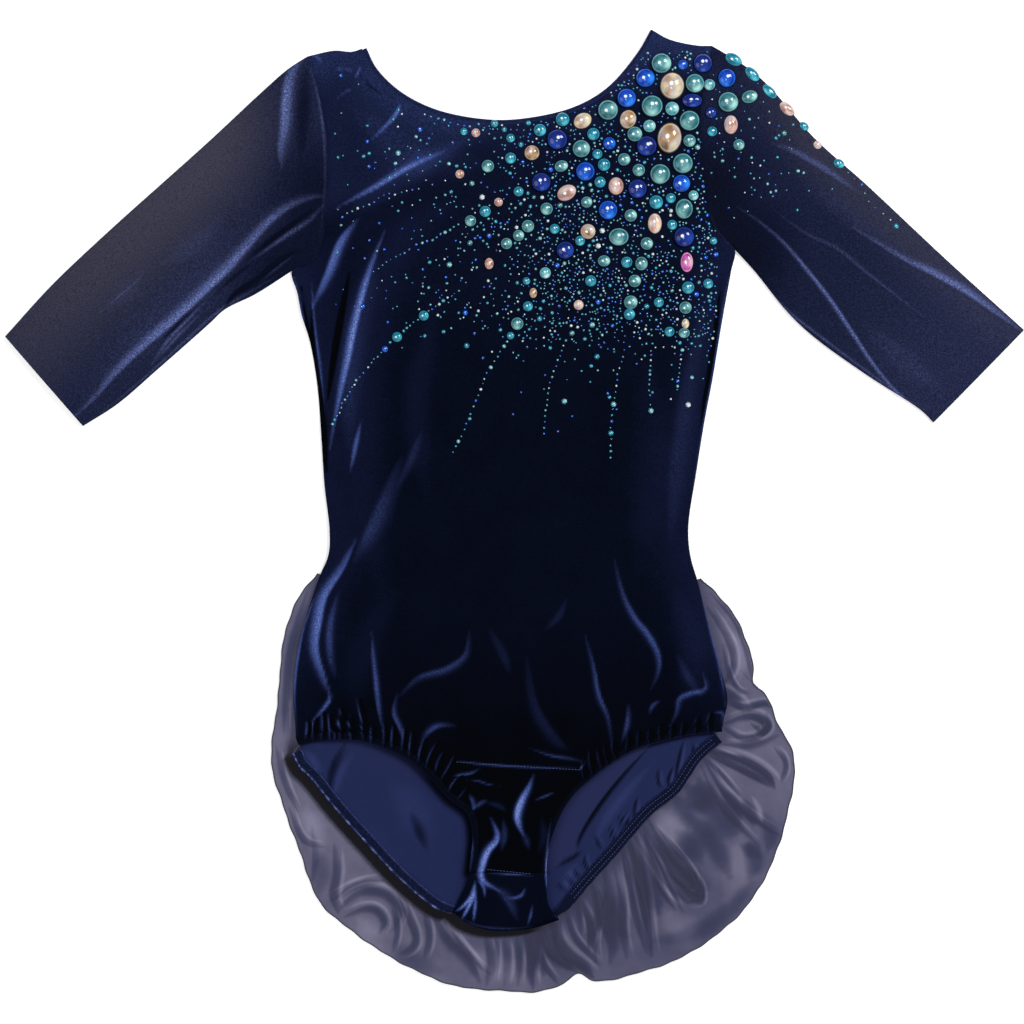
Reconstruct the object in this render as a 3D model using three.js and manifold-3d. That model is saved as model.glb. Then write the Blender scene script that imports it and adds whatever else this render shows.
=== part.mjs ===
// A long leotard of stretch velvet with elbow-length sleeves and a sheer back skirt, laid flat on a table.
// Millimetres, +Z up. X runs across the garment, Y from the crotch to the neck, and Z = 0 is the table.

import * as THREE from "three";
import { mergeVertices } from "three/addons/utils/BufferGeometryUtils.js";
import Module from "manifold-3d";

const wasm = await Module();
wasm.setup();

// Cloth
const VELVET = 1.2;
const CHIFFON = 1.0;
const SEAM_GAP = 0.3;
const LOFT = 1.8;
const LOFT_REACH = 18;
const INNER_SHARE = 0.6;

// Skirt under the back panel
const SKIRT_RISE_FROM = 8;
const SKIRT_RISE_TO = -20;
const SKIRT_FREE_FROM = 2;
const SKIRT_FREE_TO = 20;

// Edges
const FRONT_ELASTIC = 4;
const BACK_ELASTIC_LEFT = 6;
const BACK_ELASTIC_RIGHT = 9;
const FRONT_WAVES = { waves: 16, height: 0.8 };
const BACK_ELASTIC = {
  left: [BACK_ELASTIC_LEFT, { waves: 17, height: 0.8, ripple: 1.2 }],
  right: [BACK_ELASTIC_RIGHT, { waves: 12, height: 0.4 }],
};
const ELASTIC_THICKNESS = 1.6;
const BACK_EDGE_LIFT = 2.4;
const BACK_EDGE_REACH = 26;
const NECK_BINDING = 3.5;
const BACK_NECK_DROP = 5;
const NECK_BEND = { fade: 3, span: 0.62 };
const SLEEVE_BEND_FADE = 4;
const LEG_BEND = { from: 0.74, fade: 1.5 };
const CROTCH_START = 0.7;
const GUSSET_SEAM_Y = -270;
const GUSSET_BACK_Y = -288;
const GUSSET_BACK_TAPER = 0.86;
const BACK_SEAM_AT = { left: 0.84, right: 0.9 };

// Stones
const STONE_SIDES = 8;
const STONE_RISE = 0.3;
const STONE_SUNK = 0.6;
const STONE_SHOULDER = 0.74;

// Mesh density, and the columns between which the neckline and the crotch lie
const FRONT_GRID = { columns: 26, sideRows: 22, neck: [4, 22], crotch: [10, 16] };
const BACK_GRID = { columns: 14, sideRows: 16, neck: [2, 12], crotch: [5, 9] };
const CROTCH_ROWS = 4;
const SLEEVE_ROWS = 12;
const SKIRT_GRID = { columns: 104, hiddenRows: 2, freeRows: 4 };
const GUSSET_GRID = { columns: 8, layers: 5, backLayers: 2 };

const table = (names, rows) => rows.map((row) => Object.fromEntries(names.map((name, i) => [name, row[i]])));

// Where the left and right edges of the body stand, from the shoulders down to the leg
const SIDES = table(["leftX", "leftY", "rightX", "rightY"], [
  [-155.3, 341.6, 148.0, 349.5],
  [-150.0, 325.0, 143.6, 330.0],
  [-144.8, 304.5, 140.5, 308.0],
  [-140.4, 277.0, 139.0, 285.0],
  [-140.0, 250.0, 141.0, 258.0],
  [-141.8, 228.0, 143.3, 232.0],
  [-143.5, 203.0, 146.5, 218.0],
  [-148.0, 192.0, 151.0, 210.0],
  [-155.0, 185.0, 157.0, 203.0],
  [-166.9, 180.8, 165.2, 196.7],
  [-162.8, 164.0, 162.5, 181.0],
  [-159.7, 148.0, 159.0, 162.0],
  [-153.5, 128.0, 154.6, 137.0],
  [-147.9, 95.0, 148.5, 100.0],
  [-144.8, 55.0, 142.6, 69.0],
  [-142.5, 20.0, 136.0, 28.0],
  [-138.6, -15.0, 130.2, -12.0],
  [-139.5, -32.0, 131.8, -33.0],
  [-146.4, -49.0, 137.2, -52.0],
  [-156.5, -80.0, 144.0, -79.0],
  [-163.5, -111.0, 152.5, -111.0],
  [-165.8, -138.0, 159.5, -140.0],
  [-163.8, -162.0, 157.2, -155.0],
  [-162.4, -174.4, 156.3, -165.0],
]);
const ARMPIT_ROW = 9;

const NECKLINE = [
  [-111, 349], [-103, 333], [-85, 315.5], [-58, 302], [-20, 294.8], [8, 295.7],
  [45, 304.4], [70, 319.3], [92.3, 345.4], [101.8, 362],
];
const SHOULDER_LEFT = [[-155.3, 341.6], [-135, 345.8], [-122, 345], [-111, 349]];
const SHOULDER_RIGHT = [[101.8, 362], [116, 354.3], [137, 349.7], [148, 349.5]];

const FRONT_LEG_LEFT = [
  [-162.4, -174.4], [-148, -170.5], [-115, -171], [-92.6, -178], [-77.6, -185.6], [-63.4, -199],
  [-50, -214], [-35, -226.5], [-31.6, -242], [-33, -262], [-34, GUSSET_SEAM_Y],
];
const FRONT_LEG_RIGHT = [
  [156.3, -165], [132.6, -167], [111, -172], [92.4, -177.5], [75, -187], [58, -200],
  [45, -212], [36.4, -225], [30.8, -238], [25.6, -255], [24.2, GUSSET_SEAM_Y],
];
const BACK_LEG_LEFT = [
  [-165.8, -180], [-161, -190], [-152, -199], [-133.5, -222], [-110.6, -247.5], [-84.7, -275],
  [-57.5, -297], [-47.4, -301],
];
const BACK_LEG_RIGHT = [
  [156.3, -172], [141, -185], [122.6, -211], [104, -226], [75, -259], [58, -281], [39.4, -301],
];
const CROTCH_FOLD = [[-46, -299], [-34.5, -308], [-18.7, -313], [0, -313], [15.8, -311], [33.4, -305]];
const GUSSET_LEFT = [[-34, GUSSET_SEAM_Y], [-36.6, -279], [-41, -288], [-46, -299]];
const GUSSET_RIGHT = [[24.2, GUSSET_SEAM_Y], [24, -283], [25.5, -294], [33.4, -305]];

const OVER_ARM_LEFT = [
  [-155.3, 341.6], [-170, 332], [-190, 314.4], [-229, 278], [-307, 208], [-347, 170], [-382, 131.6],
];
const UNDER_ARM_LEFT = [
  [-166.9, 180.8], [-194, 163.5], [-217, 152], [-229, 141], [-268, 106.5], [-297.6, 81], [-323.5, 64.4],
];
const OVER_ARM_RIGHT = [
  [148, 349.5], [172, 335], [190, 320], [224.6, 280.6], [264.8, 244.5], [325, 188], [382, 136.5],
];
const UNDER_ARM_RIGHT = [
  [165.2, 196.7], [180.4, 180], [204.4, 150], [224.6, 131], [265, 102], [305, 76], [314, 67],
];

const HEM = [
  [-147.5, -46], [-160, -61.5], [-170, -84], [-174, -103.5], [-177, -139], [-182, -188], [-173.6, -219],
  [-160, -256.5], [-146, -292], [-119, -316], [-83, -339], [-44.6, -355], [-10, -358.6], [14, -359.6],
  [36, -354], [47, -345.5], [60, -351.5], [97, -344], [130, -331], [168, -302], [188.6, -272], [203, -232],
  [209.4, -185], [197, -158], [188, -137], [179.5, -129], [178, -111], [166, -80], [152, -62], [139, -50],
];
const SKIRT_SEAM = [[-143.5, -47.5], [-70, -56], [0, -59], [70, -57], [134.5, -51]];

// Soft folds of the velvet: each runs along its path and stands its height above the cloth beside it
const FOLDS = table(["width", "height", "path"], [
  [9, 2.4, [[-157, 336], [-168, 316], [-173, 293], [-175, 262]]],
  [10, 2.8, [[-150, 236], [-186, 218], [-229, 171], [-268, 138], [-307, 93], [-324, 76]]],
  [7, 1.6, [[-148, 226], [-180, 197], [-219, 161], [-249, 138], [-270, 112]]],
  [12, 1.4, [[-276, 181], [-298, 160], [-317, 146]]],
  [8, 1.8, [[208, 273], [228, 259], [245, 248], [261, 236]]],
  [10, 2.6, [[245, 220], [295, 190], [345, 156], [374, 131]]],
  [7, 1.6, [[168, 226], [204, 192], [245, 146], [265, 118], [303, 82]]],
  [7, 1.4, [[190, 228], [237, 196], [275, 168], [315, 138]]],
  [9, 2.4, [[-117, 219], [-134, 188], [-150, 158]]],
  [7, 1.8, [[-99, 204], [-112, 159], [-124, 110], [-136, 47]]],
  [6, 1.2, [[-55, 269], [-130, 228]]],
  [10, 2.6, [[-123, -36], [-142, -78], [-144, -108], [-138, -136], [-153, -158]]],
  [7, 1.8, [[-34, -93], [-53, -118], [-86, -136], [-85, -169]]],
  [7, 2.0, [[76, -39], [91, -78], [108, -109], [103, -132]]],
  [6, 1.6, [[53, -96], [63, -133], [74, -171]]],
  [9, 1.6, [[11, -117], [16, -146], [37, -171]]],
  [9, 2.2, [[13.6, -198], [3, -221], [4, -236]]],
  [8, 2.2, [[-18, -229], [-17, -251], [-24, -264]]],
]);

// Folds of the chiffon outside the leg edges
const SKIRT_FOLDS = table(["width", "height", "path"], [
  [8, 4.0, [[147, -179], [197, -206]]],
  [8, 3.0, [[144, -185], [198, -242]]],
  [9, 4.0, [[108, -228], [144, -292]]],
  [7, 2.6, [[94, -238], [134, -295]]],
  [8, 3.6, [[82, -249], [98, -332]]],
  [8, 3.0, [[93, -245], [118, -311]]],
  [9, 3.6, [[64, -278], [74, -334]]],
  [7, 2.6, [[51, -291], [64, -337]]],
  [8, 4.2, [[30, -316], [50, -345]]],
  [6, 2.4, [[20, -318], [33, -353]]],
  [6, 2.4, [[9, -319], [16, -354]]],
  [6, 2.4, [[-4, -320], [-2, -354]]],
  [7, 3.0, [[-17, -320], [-19, -350]]],
  [7, 3.0, [[-45, -317], [-23, -349]]],
  [8, 3.4, [[-62, -307], [-28, -346]]],
  [7, 2.6, [[-66, -304], [-68, -336]]],
  [7, 3.0, [[-90, -285], [-90, -328]]],
  [8, 2.6, [[-128, -298], [-110, -294], [-94, -285]]],
  [8, 3.0, [[-134, -238], [-138, -291]]],
  [7, 2.4, [[-160, -248], [-134, -236]]],
  [10, 2.6, [[165, -178], [178, -150], [174, -128]]],
  [10, 2.4, [[168, -202], [186, -226], [180, -258]]],
  [10, 2.4, [[124, -246], [152, -256], [163, -286]]],
]);

// Cabochons large enough to be formed in the wall
const FRONT_STONES = table(["x", "y", "width", "length", "turn"], [
  [110, 336, 16, 16, 0],
  [98, 325, 15, 15, 0],
  [84, 310, 15, 15, 0],
  [118, 319, 19, 21, 0],
  [103, 304, 17, 17, 0],
  [70, 301, 16, 16, 0],
  [85, 294, 13, 15, 0],
  [51, 293, 15, 12, 30],
  [32, 279, 16, 16, 0],
  [50, 272, 14, 14, 0],
  [99, 274, 16, 16, 0],
  [116, 280, 19, 24, 0],
  [129, 293, 15, 15, 0],
  [126, 261, 16, 16, 0],
  [109, 253, 16, 16, 0],
  [53, 255, 15, 15, 0],
  [20, 247, 15, 15, 0],
  [39, 239, 16, 12, 30],
  [76, 244, 12, 14, 0],
  [92, 242, 15, 15, 0],
  [125, 246, 14, 14, 0],
  [127, 227, 14, 16, 0],
  [70, 226, 15, 15, 0],
  [105, 216, 11, 16, 0],
  [78, 206, 16, 14, 0],
  [127, 206, 16, 16, 0],
  [38, 196, 14, 14, 0],
]);
const SLEEVE_STONES = table(["x", "y", "width", "length", "turn"], [
  [158, 325, 15, 15, 0],
  [160, 307, 16, 16, 0],
  [162, 290, 11, 15, 0],
]);

const smooth = (low, high, value) => THREE.MathUtils.smoothstep(value, low, high);
const curveOf = (points) =>
  new THREE.CatmullRomCurve3(points.map(([x, y]) => new THREE.Vector3(x, y, 0)), false, "centripetal");

const sideCurve = (x, y) => curveOf(SIDES.map((row) => [row[x], row[y]]));
const sides = { left: sideCurve("leftX", "leftY"), right: sideCurve("rightX", "rightY") };
const inward = { left: 1, right: -1 };
const armpitAt = ARMPIT_ROW / (SIDES.length - 1);

// A point of a curve, moved sideways: to the left of its direction where the distance is positive
function beside(curve, t, distance) {
  const along = curve.getTangent(t);
  return curve.getPoint(t).add(new THREE.Vector3(-along.y, along.x, 0).multiplyScalar(distance));
}

// The body side below the armpit
const seamSide = (side) => (t) => sides[side].getPoint(armpitAt + t * (1 - armpitAt));

// A broken line that is followed by its share of the length, or moved to the side that faces says
function follow(line, facing) {
  const reach = [0];
  for (let i = 1; i < line.length; i++) reach.push(reach[i - 1] + line[i].distanceTo(line[i - 1]));
  const normals = line.map((_, i) => {
    const along = line[Math.min(i + 1, line.length - 1)].clone().sub(line[Math.max(i - 1, 0)]).normalize();
    return new THREE.Vector3(-along.y, along.x, 0).multiplyScalar(facing);
  });
  return (t, distance) => {
    const wanted = t * reach[reach.length - 1];
    let i = 1;
    while (i < line.length - 1 && reach[i] < wanted) i++;
    const part = (wanted - reach[i - 1]) / (reach[i] - reach[i - 1]);
    const normal = normals[i - 1].clone().lerp(normals[i], part);
    return line[i - 1].clone().lerp(line[i], part).addScaledVector(normal, distance);
  };
}

const sample = (pointAt, count) => Array.from({ length: count + 1 }, (_, i) => pointAt(i / count));
const sampleCurve = (points, count) => {
  const curve = curveOf(points);
  return sample((t) => curve.getPoint(t), count);
};

function distanceToLine(line, x, y) {
  let nearest = Infinity;
  for (let i = 1; i < line.length; i++) {
    const start = line[i - 1];
    const dx = line[i].x - start.x;
    const dy = line[i].y - start.y;
    const t = THREE.MathUtils.clamp(((x - start.x) * dx + (y - start.y) * dy) / (dx * dx + dy * dy), 0, 1);
    nearest = Math.min(nearest, Math.hypot(x - start.x - t * dx, y - start.y - t * dy));
  }
  return nearest;
}

const silhouette = [
  sampleCurve(NECKLINE, 30),
  sampleCurve(SHOULDER_LEFT, 6),
  sampleCurve(SHOULDER_RIGHT, 6),
  sampleCurve(OVER_ARM_LEFT, 20),
  sampleCurve(UNDER_ARM_LEFT, 20),
  sampleCurve(OVER_ARM_RIGHT, 20),
  sampleCurve(UNDER_ARM_RIGHT, 20),
  sample(seamSide("left"), 30),
  sample(seamSide("right"), 30),
];
const backLegs = [sampleCurve(BACK_LEG_LEFT, 24), sampleCurve(BACK_LEG_RIGHT, 24)];
const bodyEdge = [
  ...sample(seamSide("left"), 30),
  ...backLegs[0],
  ...sampleCurve(CROTCH_FOLD, 12),
  ...[...backLegs[1]].reverse(),
  ...[...sample(seamSide("right"), 30)].reverse(),
];

function insideBody(x, y) {
  let inside = false;
  for (let i = 0, j = bodyEdge.length - 1; i < bodyEdge.length; j = i++) {
    const a = bodyEdge[i];
    const b = bodyEdge[j];
    const crosses = a.y > y !== b.y > y && x < ((b.x - a.x) * (y - a.y)) / (b.y - a.y) + a.x;
    if (crosses) inside = !inside;
  }
  return inside;
}

// A soft ridge that fades out at both ends of its path
function ridge({ width, height, path }) {
  const line = sampleCurve(path, 10);
  const [first, last] = [line[0], line[line.length - 1]];
  return (x, y) => {
    const across = distanceToLine(line, x, y) / width;
    const end = Math.min(Math.hypot(x - first.x, y - first.y), Math.hypot(x - last.x, y - last.y));
    return height * Math.exp(-across * across) * (0.35 + 0.65 * smooth(0, 2 * width, end));
  };
}
const ridgesOf = (rows) => {
  const ridges = rows.map(ridge);
  return (x, y) => Math.min(ridges.reduce((sum, one) => sum + one(x, y), 0), 4.4);
};
const foldHeight = ridgesOf(FOLDS);
const skirtFoldHeight = ridgesOf(SKIRT_FOLDS);

// Heights of the layers above the table
function backFloor(x, y) {
  const onSkirt = (CHIFFON + SEAM_GAP) * (1 - smooth(SKIRT_RISE_TO, SKIRT_RISE_FROM, y));
  const toLeg = Math.min(...backLegs.map((leg) => distanceToLine(leg, x, y)));
  return onSkirt + BACK_EDGE_LIFT * (1 - smooth(0, BACK_EDGE_REACH, toLeg));
}
const backTop = (x, y) => backFloor(x, y) + VELVET;
const loft = (x, y) => {
  const toEdge = Math.min(...silhouette.map((line) => distanceToLine(line, x, y)));
  return LOFT * (1 - Math.exp(-toEdge / LOFT_REACH));
};
const frontFloor = (x, y) => backTop(x, y) + SEAM_GAP + loft(x, y) + INNER_SHARE * foldHeight(x, y);
const frontTop = (x, y) => frontFloor(x, y) + VELVET + (1 - INNER_SHARE) * foldHeight(x, y);
const sleeveFloor = (x, y) => VELVET + SEAM_GAP + loft(x, y) + INNER_SHARE * foldHeight(x, y);
const sleeveTop = (x, y) => sleeveFloor(x, y) + VELVET + (1 - INNER_SHARE) * foldHeight(x, y);
const skirtFloor = (x, y) => {
  if (insideBody(x, y)) return 0;
  const free = smooth(SKIRT_FREE_FROM, SKIRT_FREE_TO, distanceToLine(bodyEdge, x, y));
  return free * skirtFoldHeight(x, y);
};

// A closed solid from a list of points and triangles, with its faces pointing out
function solid(points, triangles) {
  const geometry = new THREE.BufferGeometry();
  const numbers = points.flatMap((p) => [p.x, p.y, p.z]);
  geometry.setAttribute("position", new THREE.Float32BufferAttribute(numbers, 3));
  let volume = 0;
  for (const [a, b, c] of triangles) {
    volume += points[a].dot(new THREE.Vector3().crossVectors(points[b], points[c]));
  }
  geometry.setIndex((volume > 0 ? triangles : triangles.map(([a, b, c]) => [a, c, b])).flat());
  return geometry;
}

// Two grids of points, one over the other, closed round their edges; a tube closes on itself across
function wall(outer, inner, closed = false) {
  const rows = outer.length;
  const columns = outer[0].length;
  const points = [...outer.flat(), ...inner.flat()];
  const triangles = [];
  const quad = (a, b, c, d) => triangles.push([a, b, c], [a, c, d]);
  const out = (row, column) => row * columns + (column % columns);
  const inn = (row, column) => rows * columns + out(row, column);
  const cells = closed ? columns : columns - 1;
  for (let row = 0; row < rows - 1; row++) {
    for (let column = 0; column < cells; column++) {
      quad(out(row, column), out(row, column + 1), out(row + 1, column + 1), out(row + 1, column));
      quad(inn(row, column), inn(row + 1, column), inn(row + 1, column + 1), inn(row, column + 1));
    }
    if (closed) continue;
    quad(out(row, 0), out(row + 1, 0), inn(row + 1, 0), inn(row, 0));
    quad(out(row, cells), inn(row, cells), inn(row + 1, cells), out(row + 1, cells));
  }
  for (let column = 0; column < cells; column++) {
    quad(out(0, column), inn(0, column), inn(0, column + 1), out(0, column + 1));
    quad(out(rows - 1, column), out(rows - 1, column + 1), inn(rows - 1, column + 1), inn(rows - 1, column));
  }
  return solid(points, triangles);
}

const at = (point, z) => new THREE.Vector3(point.x, point.y, z);

// A wall over grids in plan that share their meeting points, between two height functions
function panel(grids, floor, top) {
  const plan = [];
  const places = new Map();
  const place = (point) => {
    const key = `${point.x.toFixed(3)} ${point.y.toFixed(3)}`;
    if (!places.has(key)) places.set(key, plan.push(point) - 1);
    return places.get(key);
  };
  const faces = [];
  for (const grid of grids) {
    const index = grid.map((row) => row.map(place));
    for (let row = 1; row < index.length; row++) {
      for (let column = 1; column < index[row].length; column++) {
        const [a, b] = [index[row - 1][column - 1], index[row - 1][column]];
        const [d, c] = [index[row][column - 1], index[row][column]];
        faces.push([a, d, c], [a, c, b]);
      }
    }
  }
  const edges = new Set(faces.flatMap(([a, b, c]) => [`${a} ${b}`, `${b} ${c}`, `${c} ${a}`]));
  const pairs = [...edges].map((edge) => edge.split(" ").map(Number));
  const rim = pairs.filter(([a, b]) => !edges.has(`${b} ${a}`));
  const under = plan.length;
  const points = [...plan.map((p) => at(p, top(p.x, p.y))), ...plan.map((p) => at(p, floor(p.x, p.y)))];
  return solid(points, [
    ...faces,
    ...faces.map(([a, b, c]) => [under + a, under + c, under + b]),
    ...rim.flatMap(([a, b]) => [[a, under + a, under + b], [a, under + b, b]]),
  ]);
}

// The rows of a body panel, as shares of its side's table.
// The armhole has a row at each of its points, so that the sleeve meets both panels along the same line.
function rowsOf({ sideRows }) {
  const armholeRows = Array.from({ length: ARMPIT_ROW }, (_, i) => i / (SIDES.length - 1));
  const steps = 200;
  const lengths = sides.left.getLengths(steps);
  const from = lengths[Math.round(steps * armpitAt)] / lengths[steps];
  const below = sample((t) => sides.left.getUtoTmapping(THREE.MathUtils.lerp(from, 1, t)), sideRows);
  return [...armholeRows, armpitAt, ...below.slice(1)];
}

// An edge of three stretches that meet at two of the panel's columns
function threePart(stretches, columns, [first, second]) {
  const [a, b] = [first / columns, second / columns];
  return (u) => {
    if (u <= a) return stretches[0](u / a);
    if (u >= b) return stretches[2]((u - b) / (1 - b));
    return stretches[1]((u - a) / (b - a));
  };
}

// The top edge of a panel: left shoulder, neckline moved in by its binding, right shoulder
function topEdgeOf(inset, { columns, neck }) {
  const neckCurve = curveOf(NECKLINE);
  const neckline = (t) => beside(neckCurve, neckCurve.getUtoTmapping(t), -inset);
  const corners = [neckline(0), neckline(1)].map(({ x, y }) => [x, y]);
  const left = curveOf([...SHOULDER_LEFT.slice(0, -1), corners[0]]);
  const right = curveOf([corners[1], ...SHOULDER_RIGHT.slice(1)]);
  return threePart([(t) => left.getPointAt(t), neckline, (t) => right.getPointAt(t)], columns, neck);
}

// A leg edge, moved in by what is sewn on it, between two shares of its table
function legEdge(side, leg, inset, from, to, lowest) {
  const curve = curveOf(leg);
  return (t) => {
    const point = beside(curve, THREE.MathUtils.lerp(from, to, t), inward[side] * inset);
    return point.setY(Math.max(point.y, lowest));
  };
}

// A body panel in plan: rows across it, bent at the top to the neckline and at the bottom to the leg edges
function bodyPlan(topEdge, bottomEdge, grid) {
  const rows = rowsOf(grid);
  const bend = (edge, u) => edge(u).sub(edge(0).lerp(edge(1), u));
  const corners = ["left", "right"].map((side, i) => bottomEdge(i).sub(sides[side].getPoint(1)));
  return rows.map((row) => {
    const last = smooth(0.93, 1, row);
    const left = sides.left.getPoint(row).addScaledVector(corners[0], last);
    const right = sides.right.getPoint(row).addScaledVector(corners[1], last);
    const topShare = (1 - Math.min(row / NECK_BEND.span, 1)) ** NECK_BEND.fade;
    const bottomShare = Math.max((row - LEG_BEND.from) / (1 - LEG_BEND.from), 0) ** LEG_BEND.fade;
    return Array.from({ length: grid.columns + 1 }, (_, column) => {
      const u = column / grid.columns;
      const point = left.clone().lerp(right, u);
      point.addScaledVector(bend(topEdge, u), topShare);
      return point.addScaledVector(bend(bottomEdge, u), bottomShare);
    });
  });
}

// A four-sided patch: lines between two long edges, bent at the start and the end to the edges there
function patch(startEdge, endEdge, firstSide, lastSide, fade = 1) {
  const bend = (edge, u) => edge(u).sub(edge(0).lerp(edge(1), u));
  return (u, v) =>
    firstSide(v)
      .lerp(lastSide(v), u)
      .addScaledVector(bend(startEdge, u), (1 - v) ** fade)
      .addScaledVector(bend(endEdge, u), v ** fade);
}

// A flattened tube: its table side lies at zero, its upper side carries the folds
function sleeve(side, overArm, underArm) {
  const facing = -inward[side];
  const over = curveOf(overArm);
  const under = curveOf(underArm);
  const line = sample((t) => sides[side].getPoint(t * armpitAt), ARMPIT_ROW);
  const reach = (i) => line.slice(1, i + 1).reduce((sum, p, k) => sum + p.distanceTo(line[k]), 0);
  const armhole = follow(line, facing);
  const seams = line.map((_, i) => armhole(reach(i) / reach(ARMPIT_ROW), SEAM_GAP));
  const seam = (u) => {
    const i = Math.min(Math.floor(u * ARMPIT_ROW), ARMPIT_ROW - 1);
    return seams[i].clone().lerp(seams[i + 1], u * ARMPIT_ROW - i);
  };
  const cuff = (u) => over.getPoint(1).lerp(under.getPoint(1), u);
  const overShift = seams[0].clone().sub(over.getPoint(0));
  const underShift = seams.at(-1).clone().sub(under.getPoint(0));
  const plan = patch(
    seam,
    cuff,
    (v) => over.getPointAt(v).addScaledVector(overShift, 1 - v),
    (v) => under.getPointAt(v).addScaledVector(underShift, 1 - v),
    SLEEVE_BEND_FADE,
  );
  const ring = (v, inset, upper, lower) => {
    const edge = inset / plan(0, v).distanceTo(plan(1, v));
    const across = sample((u) => plan(THREE.MathUtils.clamp(u, edge, 1 - edge), v), ARMPIT_ROW);
    return [...across.map((p) => at(p, upper(p.x, p.y))), ...across.reverse().map((p) => at(p, lower))];
  };
  return wall(
    sample((v) => ring(v, 0, sleeveTop, 0), SLEEVE_ROWS),
    sample((v) => ring(v, VELVET, sleeveFloor, VELVET), SLEEVE_ROWS),
    true,
  );
}

// The skirt: hidden rows under the body, then rows from where it comes out to the hem
function skirt() {
  const seam = curveOf(SKIRT_SEAM);
  const hem = curveOf(HEM);
  const { columns, hiddenRows, freeRows } = SKIRT_GRID;
  const lines = sample((u) => {
    const [start, end] = [seam.getPointAt(u), hem.getPointAt(u)];
    const edge = leavesBody(start, end);
    const along = (t) => start.clone().lerp(end, t);
    const hidden = Array.from({ length: hiddenRows }, (_, i) => along((edge * i) / hiddenRows));
    const free = sample((t) => along(THREE.MathUtils.lerp(edge, 1, t)), freeRows);
    return [...hidden, ...free];
  }, columns);
  return panel([lines], skirtFloor, (x, y) => skirtFloor(x, y) + CHIFFON);
}

// The share of the way from start to end at which the body's edge is passed
function leavesBody(start, end) {
  let [inner, outer] = [0, 0.985];
  for (let i = 0; i < 12; i++) {
    const middle = (inner + outer) / 2;
    const p = start.clone().lerp(end, middle);
    if (insideBody(p.x, p.y)) inner = middle;
    else outer = middle;
  }
  return outer;
}

// A narrow strip sewn along a panel's edge, gathered into even waves
function edging(line, facing, width, floor, { waves = 0, height = 0, ripple = 0, steps = 24 } = {}) {
  const edge = follow(line, facing);
  const plan = sample((t) => {
    const share = THREE.MathUtils.lerp(0.004, 0.99, t);
    const wave = 0.5 - 0.5 * Math.cos(t * waves * 2 * Math.PI);
    return [
        { ...edge(share, SEAM_GAP), rise: 0 },
      { ...edge(share, SEAM_GAP + width + ripple * wave), rise: height * wave },
    ];
  }, waves > 0 ? waves * 4 : steps);
  return wall(
    plan.map((row) => row.map((p) => at(p, floor(p.x, p.y) + p.rise + ELASTIC_THICKNESS))),
    plan.map((row) => row.map((p) => at(p, floor(p.x, p.y) + p.rise))),
  );
}

// The crotch piece: a front layer, a fold at the bottom, and a back layer sewn to the back panel
function gusset() {
  const left = curveOf(GUSSET_LEFT);
  const right = curveOf(GUSSET_RIGHT);
  const fold = curveOf(CROTCH_FOLD);
  const seamLine = (u) => left.getPoint(0).lerp(right.getPoint(0), u).setY(GUSSET_SEAM_Y - SEAM_GAP);
  const plan = patch(seamLine, (u) => fold.getPoint(u), (v) => left.getPoint(v), (v) => right.getPoint(v));
  const { columns, layers, backLayers } = GUSSET_GRID;
  const column = (u, outside) => {
    const pull = outside ? 0 : VELVET / fold.getPoint(u).distanceTo(seamLine(u));
    const front = sample((v) => {
      const p = plan(u, Math.min(v, 1 - pull));
      return at(p, outside ? frontTop(p.x, p.y) : frontFloor(p.x, p.y));
    }, layers);
    const lowEnd = plan(u, 1 - pull);
    const highEnd = new THREE.Vector3(lowEnd.x * GUSSET_BACK_TAPER, GUSSET_BACK_Y, 0);
    const back = sample((v) => {
      const p = lowEnd.clone().lerp(highEnd, v);
      return at(p, outside ? backFloor(p.x, p.y) : backTop(p.x, p.y));
    }, backLayers);
    return [...front, ...back];
  };
  return wall(
    sample((u) => column(u, true), columns),
    sample((u) => column(u, false), columns),
  );
}

// Low domes joined to the outer face of a wall
function dome({ x, y, width, length, turn }, top) {
  const rise = STONE_RISE * Math.min(width, length);
  const profile = [
    new THREE.Vector2(0, -STONE_SUNK),
    new THREE.Vector2(1, -STONE_SUNK),
    new THREE.Vector2(STONE_SHOULDER, STONE_SHOULDER * rise),
    new THREE.Vector2(0, rise),
  ];
  const geometry = new THREE.LatheGeometry(profile, STONE_SIDES);
  geometry.rotateX(Math.PI / 2);
  geometry.scale(width / 2, length / 2, 1);
  geometry.rotateZ(THREE.MathUtils.degToRad(turn));
  geometry.translate(x, y, 0);
  const place = geometry.getAttribute("position");
  for (let i = 0; i < place.count; i++) {
    place.setZ(i, place.getZ(i) + top(place.getX(i), place.getY(i)));
  }
  return geometry;
}

function toManifold(geometry) {
  const bare = geometry.clone();
  bare.deleteAttribute("normal");
  bare.deleteAttribute("uv");
  const merged = mergeVertices(bare, 1e-4);
  const vertProperties = Float32Array.from(merged.getAttribute("position").array);
  const triVerts = Uint32Array.from(merged.getIndex().array);
  return new wasm.Manifold(new wasm.Mesh({ numProp: 3, vertProperties, triVerts }));
}

function withStones(geometry, stones, top) {
  let body = toManifold(geometry);
  for (const stone of stones) body = body.add(toManifold(dome(stone, top)));
  const mesh = body.getMesh();
  const joined = new THREE.BufferGeometry();
  joined.setAttribute("position", new THREE.BufferAttribute(mesh.vertProperties.slice(), 3));
  joined.setIndex(new THREE.BufferAttribute(mesh.triVerts.slice(), 1));
  return joined;
}

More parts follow.
